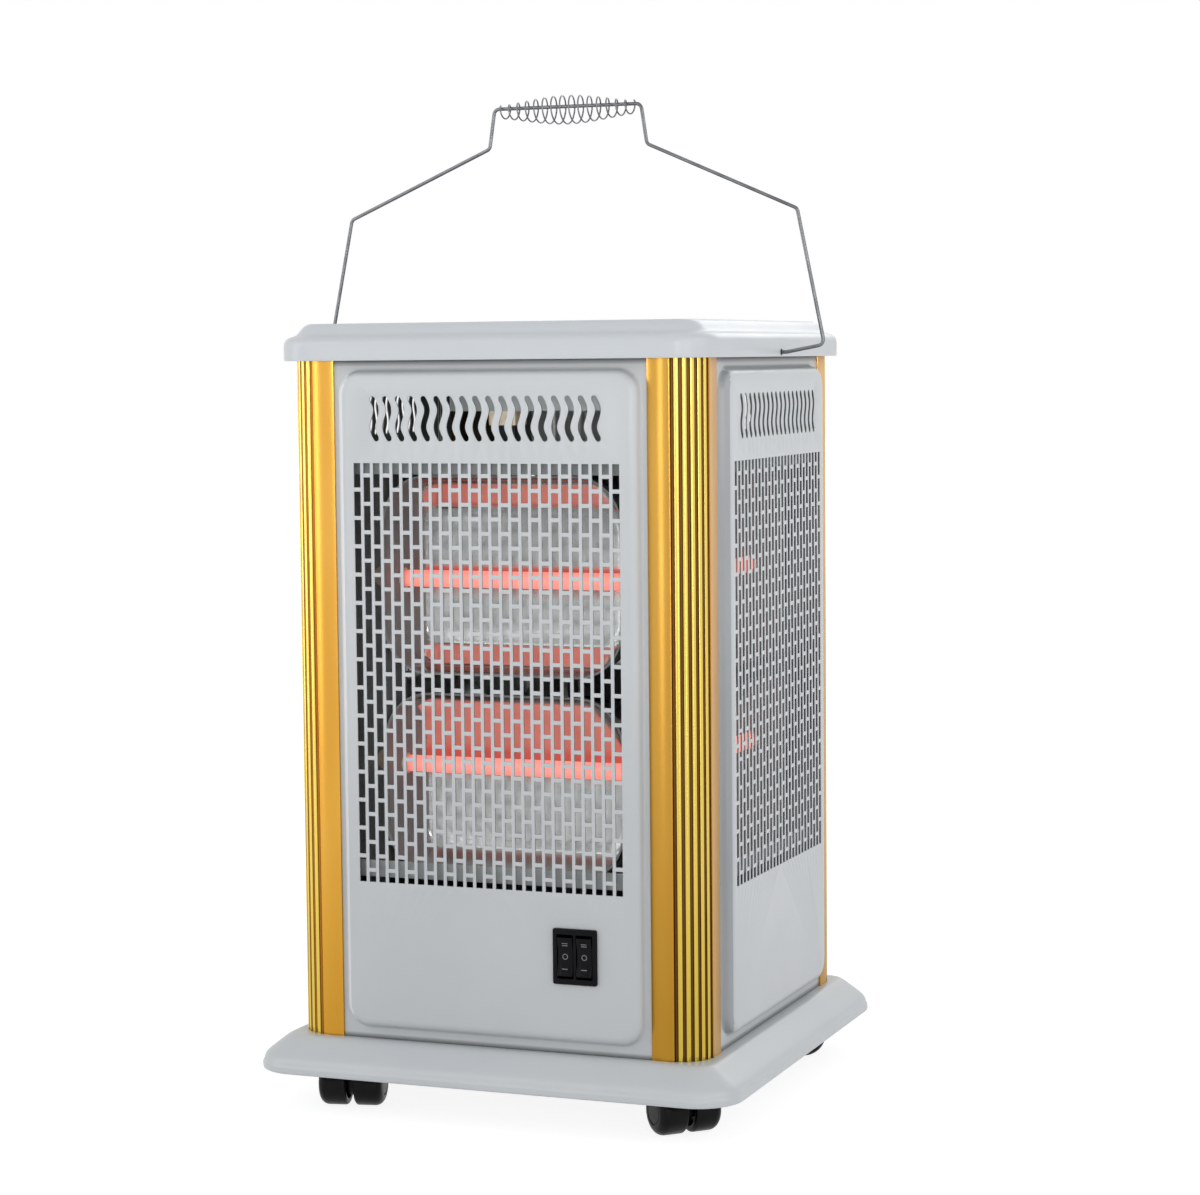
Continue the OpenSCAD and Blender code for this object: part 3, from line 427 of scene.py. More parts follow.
# Painted reflection and shade: each mirror has the red of its tube painted on close behind it, and is painted
# darker above the upper one
TUBE_REFLECTION_RED, PAINTED_SHADE_GREY = (1.0, 0.60, 0.57), even(0.62)
MIRROR_PAINTED_LIGHT = [(0.0, WHITE), (0.205, WHITE), (0.23, TUBE_REFLECTION_RED), (0.285, TUBE_REFLECTION_RED), (0.305, WHITE), (0.675, WHITE),
                (0.70, TUBE_REFLECTION_RED), (0.755, TUBE_REFLECTION_RED), (0.775, even(0.9)), (0.84, even(0.76)), (0.87, PAINTED_SHADE_GREY),
                (0.905, PAINTED_SHADE_GREY), (0.925, WHITE)]
DENTED = {"scale": 30, "bump": (40, 0.1)}
mirror = material("mirror", (0.49, 0.51, 0.50), (0.57, 0.59, 0.58), 0.16, metal=1.0, rough_swing=0.05,
                  tones=MIRROR_PAINTED_LIGHT, span=(0.16, 0.42), **DENTED)
# Painted shade: a dish's end walls and rim take a darker, rougher, less metallic mirror, and the lower dish's
# upward faces a slightly darker, rougher one
dull_shaded_mirror = material("dull_shaded_mirror", (0.30, 0.31, 0.31), (0.36, 0.37, 0.37), 0.5, metal=0.35,
                       rough_swing=0.05, **DENTED)
satin_shaded_floor = material("satin_shaded_floor", (0.40, 0.42, 0.41), (0.46, 0.48, 0.47), 0.34, metal=0.9,
                       rough_swing=0.05, **DENTED)

zinc = material("zinc", (0.40, 0.41, 0.43), (0.52, 0.53, 0.55), 0.42, metal=0.85, scale=70, bump=(300, 0.08))
inner_steel = material("inner_steel", (0.33, 0.355, 0.35), (0.43, 0.45, 0.44), 0.5, metal=0.1, scale=40,
                       bump=(300, 0.08))
box_grey = material("box_grey", (0.40, 0.42, 0.42), (0.46, 0.48, 0.48), 0.45, scale=40, bump=(300, 0.06))
wire = material("wire", (0.15, 0.155, 0.165), (0.21, 0.215, 0.225), 0.28, metal=1.0, scale=90,
                bump=(600, 0.05))
ceramic = material("ceramic", (0.86, 0.70, 0.52), (0.93, 0.79, 0.62), 0.6, scale=80, bump=(900, 0.12))
lead = material("lead", (0.80, 0.80, 0.78), (0.88, 0.88, 0.86), 0.5, scale=120, bump=(1500, 0.1))
plastic = material("plastic", (0.003, 0.003, 0.0035), (0.007, 0.007, 0.008), 0.4, scale=50,
                   bump=(2200, 0.12), specular=0.15)
gloss_black = material("gloss_black", (0.002, 0.002, 0.003), (0.004, 0.004, 0.006), 0.24, scale=40,
                       bump=(1500, 0.05), specular=0.1)
tread = material("tread", (0.002, 0.002, 0.0025), (0.005, 0.005, 0.006), 0.3, scale=60,
                 bump=(1200, 0.08), specular=0.12)
mark = material("mark", (0.14, 0.14, 0.15), (0.17, 0.17, 0.18), 0.5, scale=200, bump=(1500, 0.05))


def quartz_material():
    """A milky quartz tube that glows along its length and fades towards its caps."""
    mat, tree, shader = base_of("quartz")
    split = tree.nodes.new("ShaderNodeSeparateXYZ")
    tree.links.new(object_place(tree), split.inputs["Vector"])
    # A front or back tube runs along X and a right or left one along Y, so the smaller one counts
    along = math_in(tree, "MINIMUM", *[math_in(tree, "ABSOLUTE", split.outputs[axis]) for axis in "XY"])
    fade = range_in(tree, along, (0.074, 0.082), (1.0, 0.15))
    flicker = range_in(tree, noise_in(tree, 60, 3), (0.0, 1.0), (0.85, 1.15))
    power = math_in(tree, "MULTIPLY", math_in(tree, "MULTIPLY", fade, flicker), 0.88)
    glow = ramp_in(tree, fade, [(0.2, (0.75, 0.06, 0.05)), (0.9, (1.0, 0.22, 0.17))])
    tree.links.new(glow, shader.inputs["Emission Color"])
    tree.links.new(power, shader.inputs["Emission Strength"])
    shader.inputs["Base Color"].default_value = (0.75, 0.45, 0.40, 1)
    shader.inputs["Roughness"].default_value = 0.35
    return mat


def filament_material():
    """A glowing rod with the bright and dark bands of a coil's turns."""
    mat, tree, shader = base_of("filament")
    turns = tree.nodes.new("ShaderNodeTexWave")
    turns.inputs["Scale"].default_value = 250
    turns.bands_direction = "DIAGONAL"
    tree.links.new(object_place(tree), turns.inputs["Vector"])
    colour = ramp_in(tree, turns.outputs["Fac"], [(0.2, (0.6, 0.08, 0.02)), (0.7, (1.0, 0.42, 0.12))])
    tree.links.new(colour, shader.inputs["Emission Color"])
    tree.links.new(colour, shader.inputs["Base Color"])
    shader.inputs["Emission Strength"].default_value = 2.0
    shader.inputs["Roughness"].default_value = 0.4
    return mat


quartz = quartz_material()
filament = filament_material()


# ---------------------------------------------------------------- panels

def vent_outline(cx, cz):
    """One vent: a slot with round ends that swings left in its lower half and right in its upper half."""
    steps = 14
    half = VENT_W / 2
    line = []
    for k in range(steps + 1):
        t = k / steps
        line.append((1.3 * (1 - 2 * t) - 1.9 * sin(2 * pi * t), (t - 0.5) * (VENT_H - VENT_W)))
    right, left = offset_line(line, -half), offset_line(line, half)
    ends = []
    for (x, z), start in ((line[-1], 0.0), (line[0], pi)):
        ends.append([(x + half * cos(start + pi * j / 6), z + half * sin(start + pi * j / 6))
                     for j in range(1, 6)])
    path = right + ends[0] + left[::-1] + ends[1]
    return [(cx + x, cz + z) for x, z in path]


def slot_outlines():
    """The mesh's upright slots, in columns that alternate like bricks."""
    row = SLOT_H + SLOT_BAR
    half_slot = (SLOT_H - SLOT_BAR) / 2
    top = MESH_ROWS * row - SLOT_BAR
    out = []
    for c in range(MESH_COLS):
        x = (c - (MESH_COLS - 1) / 2) * MESH_PITCH
        if c % 2 == 0:
            spans = [(k * row, k * row + SLOT_H) for k in range(MESH_ROWS)]
        else:
            spans = [(0, half_slot), (top - half_slot, top)]
            spans += [(half_slot + SLOT_BAR + k * row, half_slot + SLOT_BAR + k * row + SLOT_H)
                      for k in range(MESH_ROWS - 1)]
        for low, high in spans:
            out.append([(x - SLOT_W / 2, MESH_Z + low), (x + SLOT_W / 2, MESH_Z + low),
                        (x + SLOT_W / 2, MESH_Z + high), (x - SLOT_W / 2, MESH_Z + high)])
    return out


def panel(i, cuts=()):
    """A panel with its raised field, its mesh and vents, and any further holes."""
    p = Piece()
    mid, half_z = (FIELD_LOW + FIELD_HIGH) / 2, (FIELD_HIGH - FIELD_LOW) / 2
    round_top, round_in, foot = 4.6, 6.4, 2.2

    def at(w, outline):
        return [turned((u, -w, z), i) for u, z in outline]

    def step(d, w):
        outline = rounded_rect(FIELD_HALF - d, half_z - d, FIELD_R - d, 10)
        return at(w, [(u, z + mid) for u, z in outline])

    # The step's profile, as inset from the raised field's side and distance outward
    profile = []
    for k in range(5):
        a = pi / 2 * k / 4
        profile.append((-foot * (1 - sin(a)) + 0.1, BORDER_OUT + foot * (1 - cos(a))))
    for k in range(8):
        a = pi / 2 * k / 7
        profile.append((0.35 + round_in * (1 - cos(a)), FIELD_OUT - round_top * (1 - sin(a))))
    back = offset_line(profile, -SHEET)
    gap = 0.3
    border = [(-PANEL_HALF, DECK_Z + gap), (PANEL_HALF, DECK_Z + gap),
              (PANEL_HALF, POST_TOP - gap), (-PANEL_HALF, POST_TOP - gap)]
    outer = p.loft([step(d, w) for d, w in profile])
    inner = p.loft([step(d, w) for d, w in back])
    edge = p.loft([at(BORDER_OUT, border), at(BORDER_OUT - SHEET, border)])
    p.fill(edge[0], [outer[0]])
    p.fill(edge[1], [inner[0]])

    holes = slot_outlines()
    holes += [vent_outline((k - (VENT_N - 1) / 2) * VENT_PITCH, VENT_Z) for k in range(VENT_N)]
    holes += cuts
    front_holes, back_holes = [], []
    # The punched holes' edges are rolled in by this much
    rim = 0.28
    for hole in holes:
        made = p.loft([at(FIELD_OUT, grown(hole, rim)), at(FIELD_OUT - 0.1, grown(hole, 0.08)),
                       at(FIELD_OUT - rim, hole), at(FIELD_OUT - SHEET, hole)])
        front_holes.append(made[0])
        back_holes.append(made[-1])
    p.fill(outer[-1], front_holes)
    p.fill(inner[-1], back_holes)
    obj = p.make("shell_" + SIDES[i], "heater", panel_enamel, ["panel_" + SIDES[i]],
                 extra=[painted_shade_inside, painted_shade_hole_wall, painted_shade_step if i == 1 else painted_highlight_step])
    outward, along = Vector(turned((0, -1, 0), i)), Vector(turned((1, 0, 0), i))
    for face in obj.data.polygons:
        facing, depth = face.normal.dot(outward), face.center.dot(outward) / MM - FIELD_OUT
        # Inner faces and hole walls take the painted shade
        if facing < -0.3:
            face.material_index = 1
        elif abs(facing) < 0.3 and -SHEET < depth < -0.2:
            face.material_index = 2
        # On the front panel the flank at the field's left side takes the painted highlight, on the right
        # panel the painted shade
        elif i < 2 and face.normal.dot(along) < -0.35 and face.center.dot(along) / MM < 8 - FIELD_HALF:
            face.material_index = 3


cut_x, cut_z = SWITCH_CUT
switch_cut = [(SWITCH_X + sx * cut_x, SWITCH_Z + sz * cut_z) for sx, sz in SQUARE]
panel(0, [switch_cut])
panel(1)
panel(2, [circle(GLAND_X, GLAND_Z, GLAND_HOLE_R)])
panel(3)


# ---------------------------------------------------------------- lid and base

def pan_ring(half, r, d, z):
    """One ring of a pan, at distance d out from the centre of its corners."""
    return [(x, y, z) for x, y in rounded_rect(half - r + d, half - r + d, max(d, 0.4), 14)]


def lid():
    """The lid's double shoulder, its rolled edge and a cup for the screw in each corner."""
    p = Piece()
    outline = catmull([(9.0, LID_TOP), (11.0, LID_TOP - 0.1), (13.2, LID_TOP - 0.9), (15.5, LID_TOP - 2.6),
                       (17.8, LID_TOP - 5.4), (19.6, LID_TOP - 7.2), (22.2, LID_TOP - 8.3),
                       (24.6, LID_TOP - 9.1), (26.6, LID_TOP - 10.7), (27.7, LID_TOP - 12.8),
                       (28.0, LID_TOP - 15.5), (28.0, LID_LOW + 0.6)], 3)
    outline += [(27.85, LID_LOW + 0.15), (27.5, LID_LOW)]
    back = offset_line(outline[:-2], -SHEET) + [(27.15, LID_LOW + 0.15)]
    outer = p.loft([pan_ring(LID_HALF, LID_R, d, z) for d, z in outline])
    inner = p.loft([pan_ring(LID_HALF, LID_R, d, z) for d, z in back])
    p.bridge(outer[-1], inner[-1])
    tops, unders = [], []
    for sx in (-1, 1):
        for sy in (-1, 1):
            cx, cy = sx * BOSS_XY, sy * BOSS_XY
            cup = [(6.4, LID_TOP), (5.7, LID_TOP - 0.15), (5.2, LID_TOP - 0.6), (5.0, LID_TOP - 1.4),
                   (5.0, POST_TOP + 1.9), (4.6, POST_TOP + 1.2), (4.0, POST_TOP + SHEET),
                   (2.0, POST_TOP + SHEET), (2.0, POST_TOP), (5.2, POST_TOP), (5.8, POST_TOP + 0.4),
                   (6.0, POST_TOP + 1.2), (6.0, LID_TOP - 1.6), (6.4, LID_TOP - SHEET)]
            made = p.loft([[(x, y, z) for x, y in circle(cx, cy, r, 28)] for r, z in cup])
            tops.append(made[0])
            unders.append(made[-1])
    p.fill(outer[0], tops)
    p.fill(inner[0], unders)
    p.make("lid_shell", "heater", enamel, ["lid"])


def base():
    """The base's deck, its slope and its upright lip."""
    p = Piece()
    outline = catmull([(6.0, DECK_Z), (8.4, DECK_Z), (10.4, DECK_Z - 0.3), (12.4, DECK_Z - 1.2),
                       (15.0, DECK_Z - 3.0), (18.0, DECK_Z - 5.3), (21.3, DECK_Z - 7.8),
                       (24.5, DECK_Z - 10.3), (26.8, DECK_Z - 12.3), (28.1, DECK_Z - 14.0),
                       (28.8, DECK_Z - 15.6), (29.0, DECK_Z - 16.6), (29.4, DECK_Z - 17.5),
                       (29.9, DECK_Z - 18.4), (30.0, DECK_Z - 19.6), (30.0, DECK_Z - 21.4)], 3)
    outline += [(29.8, BASE_LOW + 0.4), (29.4, BASE_LOW)]
    back = offset_line(outline[:-2], -SHEET) + [(29.1, BASE_LOW + 0.3)]
    outer = p.loft([pan_ring(BASE_HALF, BASE_R, d, z) for d, z in outline])
    inner = p.loft([pan_ring(BASE_HALF, BASE_R, d, z) for d, z in back])
    p.bridge(outer[-1], inner[-1])
    p.cap(outer[0])
    p.cap(inner[0][::-1])
    p.make("base_shell", "heater", enamel, ["base_tray"])


lid()
base()


# ---------------------------------------------------------------- posts

def post_profile():
    """The post at +X +Y in plan: flat wings, a corner of reeds between grooves and the back of its wall."""
    step = 14.2
    grooves = [radians(45 + step * (k - 2.5)) for k in range(6)]
    half_groove, deep, crown = 1.1, GROOVE_DEEP, 0.5
    half_reed = radians(step) * POST_R / 2 - half_groove
    chamfer, wing_t, wall = 0.25, 1.2, 2.4
    outer = [(WING_FOOT + chamfer, BODY_HALF), (CORNER, BODY_HALF)]
    marks = []
    for g in grooves:
        for side in (-1, 1):
            for away, r in ((0, deep), (0.5, deep - 0.03), (0.85, deep - 0.3), (0.98, 0.95),
                            (1.0, crown + 0.1), (1.12, crown - 0.1), (1.3, crown * 0.6)):
                marks.append((g + side * away * half_groove / POST_R, r))
    for lower, upper in zip(grooves, grooves[1:]):
        centre = (lower + upper) / 2
        for k in range(-3, 4):
            t = k / 4
            marks.append((centre + t * half_reed * 0.85 / POST_R, crown * 0.62 * t * t))
    # Outside the first and last groove the corner is plain
    for k in range(1, 5):
        marks.append((grooves[0] * k / 6, 0.0))
        marks.append((pi / 2 - grooves[0] * k / 6, 0.0))
    seen = set()
    for a, drop in sorted(marks, reverse=True):
        key = round(a * 2000)
        if key in seen:
            continue
        seen.add(key)
        outer.append((CORNER + (POST_R - drop) * cos(a), CORNER + (POST_R - drop) * sin(a)))
    outer += [(BODY_HALF, CORNER), (BODY_HALF, WING_FOOT + chamfer), (BODY_HALF - chamfer, WING_FOOT),
              (BODY_HALF - wing_t, WING_FOOT)]
    inner = [(BODY_HALF - wing_t, CORNER)]
    for k in range(25):
        a = pi / 2 * k / 24
        inner.append((CORNER + (POST_R - wall) * cos(a), CORNER + (POST_R - wall) * sin(a)))
    inner += [(CORNER, BODY_HALF - wing_t), (WING_FOOT, BODY_HALF - wing_t), (WING_FOOT, BODY_HALF - chamfer)]
    return outer + inner


def post(c):
    """A post, with painted highlights on its reeds, painted shade in its grooves and on the inside of its
    wall, and a painted sheen on its wings that face left and right.
    """
    p = Piece()
    # Corner c as quarter turns from +X +Y
    turns = (2, 3, 0, 1)[c]
    plan = post_profile()
    levels = (DECK_Z, DECK_Z + 0.4, DECK_Z + 120, DECK_Z + 260, POST_TOP - 0.4, POST_TOP)
    made = p.loft([[turned((x, y, z), turns) for x, y in plan] for z in levels])
    p.cap(made[0][::-1])
    p.cap(made[-1])
    obj = p.make("column_" + CORNERS[c], "heater", gold, ["post_" + CORNERS[c]],
                 smooth=50, extra=[groove_shade_gold, crest_highlight_gold, post_inside_shade, painted_sheen_gold])
    axis = Vector(turned((CORNER, CORNER, 0), turns)) * MM
    corner = Vector(turned((1, 1, 0), turns))
    for face in obj.data.polygons:
        spoke = (face.center - axis) / MM
        out = hypot(spoke.x, spoke.y)
        # Painted shade inside the wall and in the grooves, a painted sheen on the wings facing left and
        # right, painted highlights on the reeds
        if abs(face.normal.z) > 0.5:
            continue
        if face.normal.dot(spoke) < -0.5 * out:
            face.material_index = 3
        elif abs(face.normal.x) > 0.99 and abs(spoke.y) < WING_RUN and spoke.dot(corner) < POST_R:
            face.material_index = 4
        elif out < POST_R - 0.5:
            face.material_index = 1
        elif spoke.dot(corner) > POST_R * 1.1:
            face.material_index = 2


for c in range(4):
    post(c)


# ---------------------------------------------------------------- reflectors and tubes

# How far a dish's wall stands from the tube's level, against its depth in front of the floor, for a side's
# lower and upper dish. The lower one is a trough that reaches from its floor to its upper rim, and the upper
# one has narrow bands round a flat floor.
DISH_UP = (
    [(6, 0), (10, 0.7), (20, 4.2), (30, 10.2), (40, 18.4), (44.5, 22.8), (47, 27), (48.3, 33), (48.6, 40)],
    [(38, 0), (44, 0.6), (47, 2.0), (49, 3.6), (52, 5.85), (55, 8.2), (59, 11.6), (63, 15.2), (65.5, 18.5),
     (66.8, 23), (67.3, 30), (67.4, 40)])
DISH_DOWN = (
    [(50, 0), (55, 0.8), (59.5, 3.5), (62, 8), (64, 15), (65.7, 25), (66.6, 40)],
    [(38, 0), (43, 0.9), (46, 3.0), (50, 6.4), (54, 10.1), (57, 13.1), (58.6, 17), (59.2, 25), (59.4, 40)])
DISH_SIDE = [(66, 0), (70, 0.8), (73, 3), (75.5, 7), (77.5, 12), (79, 18), (80.5, 26), (82, 40)]
DISH_LEVELS = (0, 0.2, 0.5, 1, 1.6, 2.4, 3.2, 4.2, 5.4, 6.8, 8.4, 10.2, 12, 14, 16.5, 19.5, 23, 27, 32, 37,
               39.2)


def reach(table, depth):
    """How far a wall stands out at a depth, by its table."""
    line = catmull(table, 6)
    for (a, low), (b, high) in zip(line, line[1:]):
        if low <= depth <= high:
            return a + (b - a) * (depth - low) / max(high - low, 1e-9)
    return line[-1][0]


def dish(i, k):
    """The mirrored dish behind side i's lower or upper tube."""
    p = Piece()
    t = 0.6
    floor_y = TUBE_Y - 16

    def ring(depth, out, back=0.0):
        """One ring of the dish at a depth, with its distances grown by out."""
        up, down, side = (reach(table, depth) + out for table in (DISH_UP[k], DISH_DOWN[k], DISH_SIDE))
        corner = 11 + 19 * min(depth, 20) / 20 + out
        y = -(floor_y + depth - back)
        return [turned((u, y, TUBE_Z[k] + (up - down) / 2 + v), i)
                for u, v in rounded_rect(side, (up + down) / 2, min(corner, (up + down) / 2 - 1), 10)]

    front = [ring(d, 0) for d in DISH_LEVELS] + [ring(39.8, 0.5), ring(40, 1.5)]
    behind = [ring(d, t, t) for d in DISH_LEVELS] + [ring(39.8, 0.5 + t, t), ring(40, 1.5, t)]
    front, behind = p.loft(front), p.loft(behind)
    p.bridge(front[-1], behind[-1])
    p.cap(front[0])
    p.cap(behind[0][::-1])
    name = SIDES[i] + ("_lower", "_upper")[k]
    obj = p.make("dish_" + name, "heater", mirror, ["reflector_" + name], smooth=60,
                 extra=[dull_shaded_mirror, satin_shaded_floor])
    along, outward = Vector(turned((1, 0, 0), i)), Vector(turned((0, -1, 0), i))
    for face in obj.data.polygons:
        depth = face.center.dot(outward) / MM - floor_y
        # The end walls and rim take the painted shade, and so do the lower dish's upward faces
        if abs(face.normal.dot(along)) > 0.45 or depth > 38:
            face.material_index = 1
        elif k == 0 and face.normal.z > 0.5:
            face.material_index = 2


def tubes(i):
    """The two quartz tubes of side i, with rounded ends."""
    p = Piece()
    round_r, parts = 0.4, 16
    run = 2 * (TUBE_HALF - round_r) / parts
    profile = [(4.6, -TUBE_HALF), (5.2, -TUBE_HALF)]
    profile += [(TUBE_R, -TUBE_HALF + round_r + j * run) for j in range(parts + 1)]
    profile += [(5.2, TUBE_HALF), (4.6, TUBE_HALF)]
    for level in TUBE_Z:
        p.lathe(profile, lambda x, y, h: turned((h, -TUBE_Y + x, level + y), i), 32)
    p.make("quartz_" + SIDES[i], "heater", quartz, ["tubes_" + SIDES[i]], smooth=60)


for i in range(4):
    tubes(i)
    for k in (0, 1):
        dish(i, k)


# ---------------------------------------------------------------- grip coil

def coil():
    """The grip: a barrel-shaped coil round the bail, with a short straight run at each end."""
    p = Piece()
    turns, length, thin, end_r, mid_r = 15, 97.0, 0.55, 4.8, 10.0
    steps = 24 * turns
    path = []
    for k in range(steps + 1):
        t = k / steps
        r = end_r - thin + (mid_r - end_r) * max(sin(pi * t), 0) ** 1.4
        a = pi / 2 + 2 * pi * turns * t
        path.append(Vector(((t - 0.5) * length, r * cos(a), COIL_Z + r * sin(a))))
    first, last = path[1] - path[0], path[-1] - path[-2]
    run = 2 * thin
    first.x = last.x = 0
    path = [path[0] - run * first.normalized()] + path + [path[-1] + run * last.normalized()]
    p.sweep(path, thin, 8)
    p.make("coil", "bail", wire, ["grip_coil"], smooth=60)


def bail():
    """One bent wire from pivot to pivot, and a dark eyelet where it enters the lid on each side."""
    bend, thin = 4.0, 1.24
    half = [(143.9, PIVOT_Z), (153.9, PIVOT_Z), (180.0, 501.0), (161.7, 590.3), (57.0, 635.8), (53.0, GRIP_Z)]
    corners = [Vector(q) for q in half] + [Vector((-x, z)) for x, z in reversed(half)]
    route = [corners[0]]
    for a, b, c in zip(corners, corners[1:], corners[2:]):
        u, v = (b - a).normalized(), (c - b).normalized()
        turn = u.angle_signed(v)
        cut = bend * tan(abs(turn) / 2)
        side = 1 if turn > 0 else -1
        start = b - u * cut
        # A vector's right-hand side, as Blender measures a signed angle clockwise
        centre = start + side * bend * Vector((u.y, -u.x))
        for k in range(9):
            w = abs(turn) * k / 8
            spoke = start - centre
            q = (spoke.x * cos(w) + side * spoke.y * sin(w), -side * spoke.x * sin(w) + spoke.y * cos(w))
            route.append(centre + Vector(q))
    route.append(corners[-1])
    p = Piece()
    p.sweep([(q.x, 0, q.y) for q in route], thin, 16)
    p.make("hoop", "bail", wire, ["bail"], smooth=60)
    for s, side in ((-1, "left"), (1, "right")):
        eyelet = Piece()
        rings = []
        for r, d in ((2.2, 0.0), (2.2, 0.15), (2.0, 0.3), (1.7, 0.3), (1.45, 0.15), (1.45, 0.0)):
            rings.append([(s * (LID_HALF + d), r * cos(2 * pi * k / 24), PIVOT_Z + r * sin(2 * pi * k / 24))
                          for k in range(24)])
        made = eyelet.loft(rings)
        eyelet.bridge(made[-1], made[0])
        eyelet.make("eyelet_" + side, "heater", plastic, smooth=40)


coil()
bail()


# ---------------------------------------------------------------- casters

def wheel(c, s):
    """Corner c's wheel on side s of its fork."""
    p = Piece()
    a = radians(TURNS[c])
    sx, sy = SQUARE[c]
    axle = Vector((cos(a), sin(a), 0))
    centre = Vector((sx * SWIVEL_XY + TRAIL * sin(a), sy * SWIVEL_XY - TRAIL * cos(a), WHEEL_R))
    across, up = Vector((-sin(a), cos(a), 0)), Vector((0, 0, 1))

    def place(x, y, h):
        return centre + across * x + up * y + axle * (s * (WEB_T / 2 + WHEEL_GAP + h))

    # From the hub on the inner face over the tread to a domed cap with a fine groove round it
    profile = [(2.1, 0.0), (6.0, 0.0), (6.0, 4.0), (WHEEL_R - 4, 4.0), (WHEEL_R - 4, 0.3),
               (WHEEL_R - 3.2, 0.0)]
    for k in range(5):
        b = pi / 2 * k / 4
        profile.append((WHEEL_R - 2 + 2 * sin(b), 2 - 2 * cos(b)))
    for k in range(9):
        b = pi / 2 * k / 8
        profile.append((WHEEL_R - 6 + 6 * cos(b), WHEEL_W - 6 + 6 * sin(b)))
    profile += [(8.6, WHEEL_W), (8.3, WHEEL_W - 0.5), (7.9, WHEEL_W - 0.5), (7.6, WHEEL_W - 0.1),
                (5.0, WHEEL_W - 0.05), (2.0, WHEEL_W), (0.4, WHEEL_W)]
    p.lathe(profile, place, 48)
    name = CORNERS[c] + ("_a" if s < 0 else "_b")
    wheel_name = "wheel_" + name
    p.make("roller_" + name, wheel_name, tread, [wheel_name], smooth=35)


for c in range(4):
    wheel(c, -1)
    wheel(c, 1)


# ---------------------------------------------------------------- switch

def block_sides(p, half, back_y, front_y, r):
    """The sides of a block round the switch's middle, with rounded edges. Returns its open back and front."""
    rings = []
    for d, y in ((0, back_y), (0, front_y + r), (0.3 * r, front_y + 0.3 * r), (r, front_y)):
        rings.append([(SWITCH_X + u, y, SWITCH_Z + v)
                      for u, v in rounded_rect(half[0] - d, half[1] - d, max(2 * r - d, 0.1), 5)])
    made = p.loft(rings)
    return made[0], made[-1]


def switch():
    """The bezel and the body behind the panel, with a well for each rocker through both."""
    p = Piece()
    face, seat = -(FIELD_OUT + BEZEL_T), -FIELD_OUT + 0.02
    back, front = block_sides(p, BEZEL_HALF, seat, face, 0.7)
    body_back, body_front = block_sides(p, BODY_FIT, face + BODY_DEEP, seat + 0.01, 0.4)
    wells = []
    for s in (-1, 1):
        levels = ((0.35, face), (0.0, face + 0.35), (0.0, seat), (0.0, seat + 0.01), (0.0, face + WELL_DEEP))
        wells.append(p.loft([[(SWITCH_X + s * ROCKER_X + u, y, SWITCH_Z + v)
                              for u, v in rounded_rect(*[half + grow for half in WINDOW_HALF], 0.6 + grow, 4)]
                             for grow, y in levels]))
        p.cap(wells[-1][-1])
    p.fill(front, [well[0] for well in wells])
    p.fill(back, [well[2] for well in wells])
    p.fill(body_front, [well[3] for well in wells])
    p.cap(body_back[::-1])
    p.make("bezel", "heater", gloss_black, ["switch_housing"], smooth=35)


def rocker(s):
    """A rocker with a shallow dip, rounded edges and three raised position marks."""
    name = "rocker_left" if s < 0 else "rocker_right"
    cx, py = SWITCH_X + s * ROCKER_X, PIVOT_DEEP - FIELD_OUT - BEZEL_T
    half_w, half_h = 5.2, 12.5

    def face(z):
        """How far the face stands out at height z."""
        t = abs(z) / half_h
        return -5.6 + 2.0 * (1 - t ** 2.2)

    p = Piece()
    columns = [-half_w, -half_w + 0.15, -half_w + 0.5, -2, 0, 2, half_w - 0.5, half_w - 0.15, half_w]
    drop = [0.6, 0.2, 0.0, 0, 0, 0, 0.0, 0.2, 0.6]
    heights = [-half_h, -half_h + 0.15, -half_h + 0.5] + [(k - 8) / 8 * (half_h - 1.2) for k in range(17)]
    heights += [half_h - 0.5, half_h - 0.15, half_h]
    rows = []
    for z in heights:
        end = half_h - abs(z)
        curl = 0.6 if end < 0.05 else 0.2 if end < 0.3 else 0.0
        rows.append([(cx + x, py + face(z) + max(d, curl) + (0.3 if d > 0.1 and curl > 0.1 else 0),
                      SWITCH_Z + z) for x, d in zip(columns, drop)])
    grid = [p.ring(r) for r in rows]
    for a, b in zip(grid, grid[1:]):
        p.bridge(a, b, closed=False)
    edge = [g[0] for g in grid] + grid[-1][1:-1] + [g[-1] for g in reversed(grid)] + grid[0][1:-1][::-1]
    behind = []
    for k in edge:
        x, y, z = p.points[k]
        dz = z - SWITCH_Z
        behind.append((x, py + 3.0 - 2.6 * (abs(dz) / half_h) ** 3, SWITCH_Z + dz * 0.8))
    back = p.ring(behind)
    p.bridge(edge, back)
    p.cap(back)
    p.make("key" + name[6:], name, gloss_black, [name], smooth=35)

    marks = Piece()
    # The marks stand out from the face by raised, and reach into it by sunk
    raised, sunk = -0.12, 0.25

    def bar(level, half_x=1.9, half_z=0.28):
        corners = [(sx * half_x, level + sz * half_z) for sx, sz in SQUARE]
        front, behind = marks.loft([[(cx + x, py + face(z) + out, SWITCH_Z + z) for x, z in corners]
                                    for out in (raised, sunk)])
        marks.cap(front)
        marks.cap(behind[::-1])

    for level in (8.6, 7.2, -7.9):
        bar(level)
    rings = []
    for r, out in ((1.9, sunk), (1.9, raised), (1.35, raised), (1.35, sunk)):
        rings.append([(cx + x, py + face(z) + out, SWITCH_Z + z) for x, z in circle(0, 0, r)])
    made = marks.loft(rings)
    marks.bridge(made[-1], made[0])
    marks.make("marks" + name[6:], name, mark, smooth=35)


switch()
rocker(-1)
rocker(1)


# ---------------------------------------------------------------- nodes that stay as CAD made them

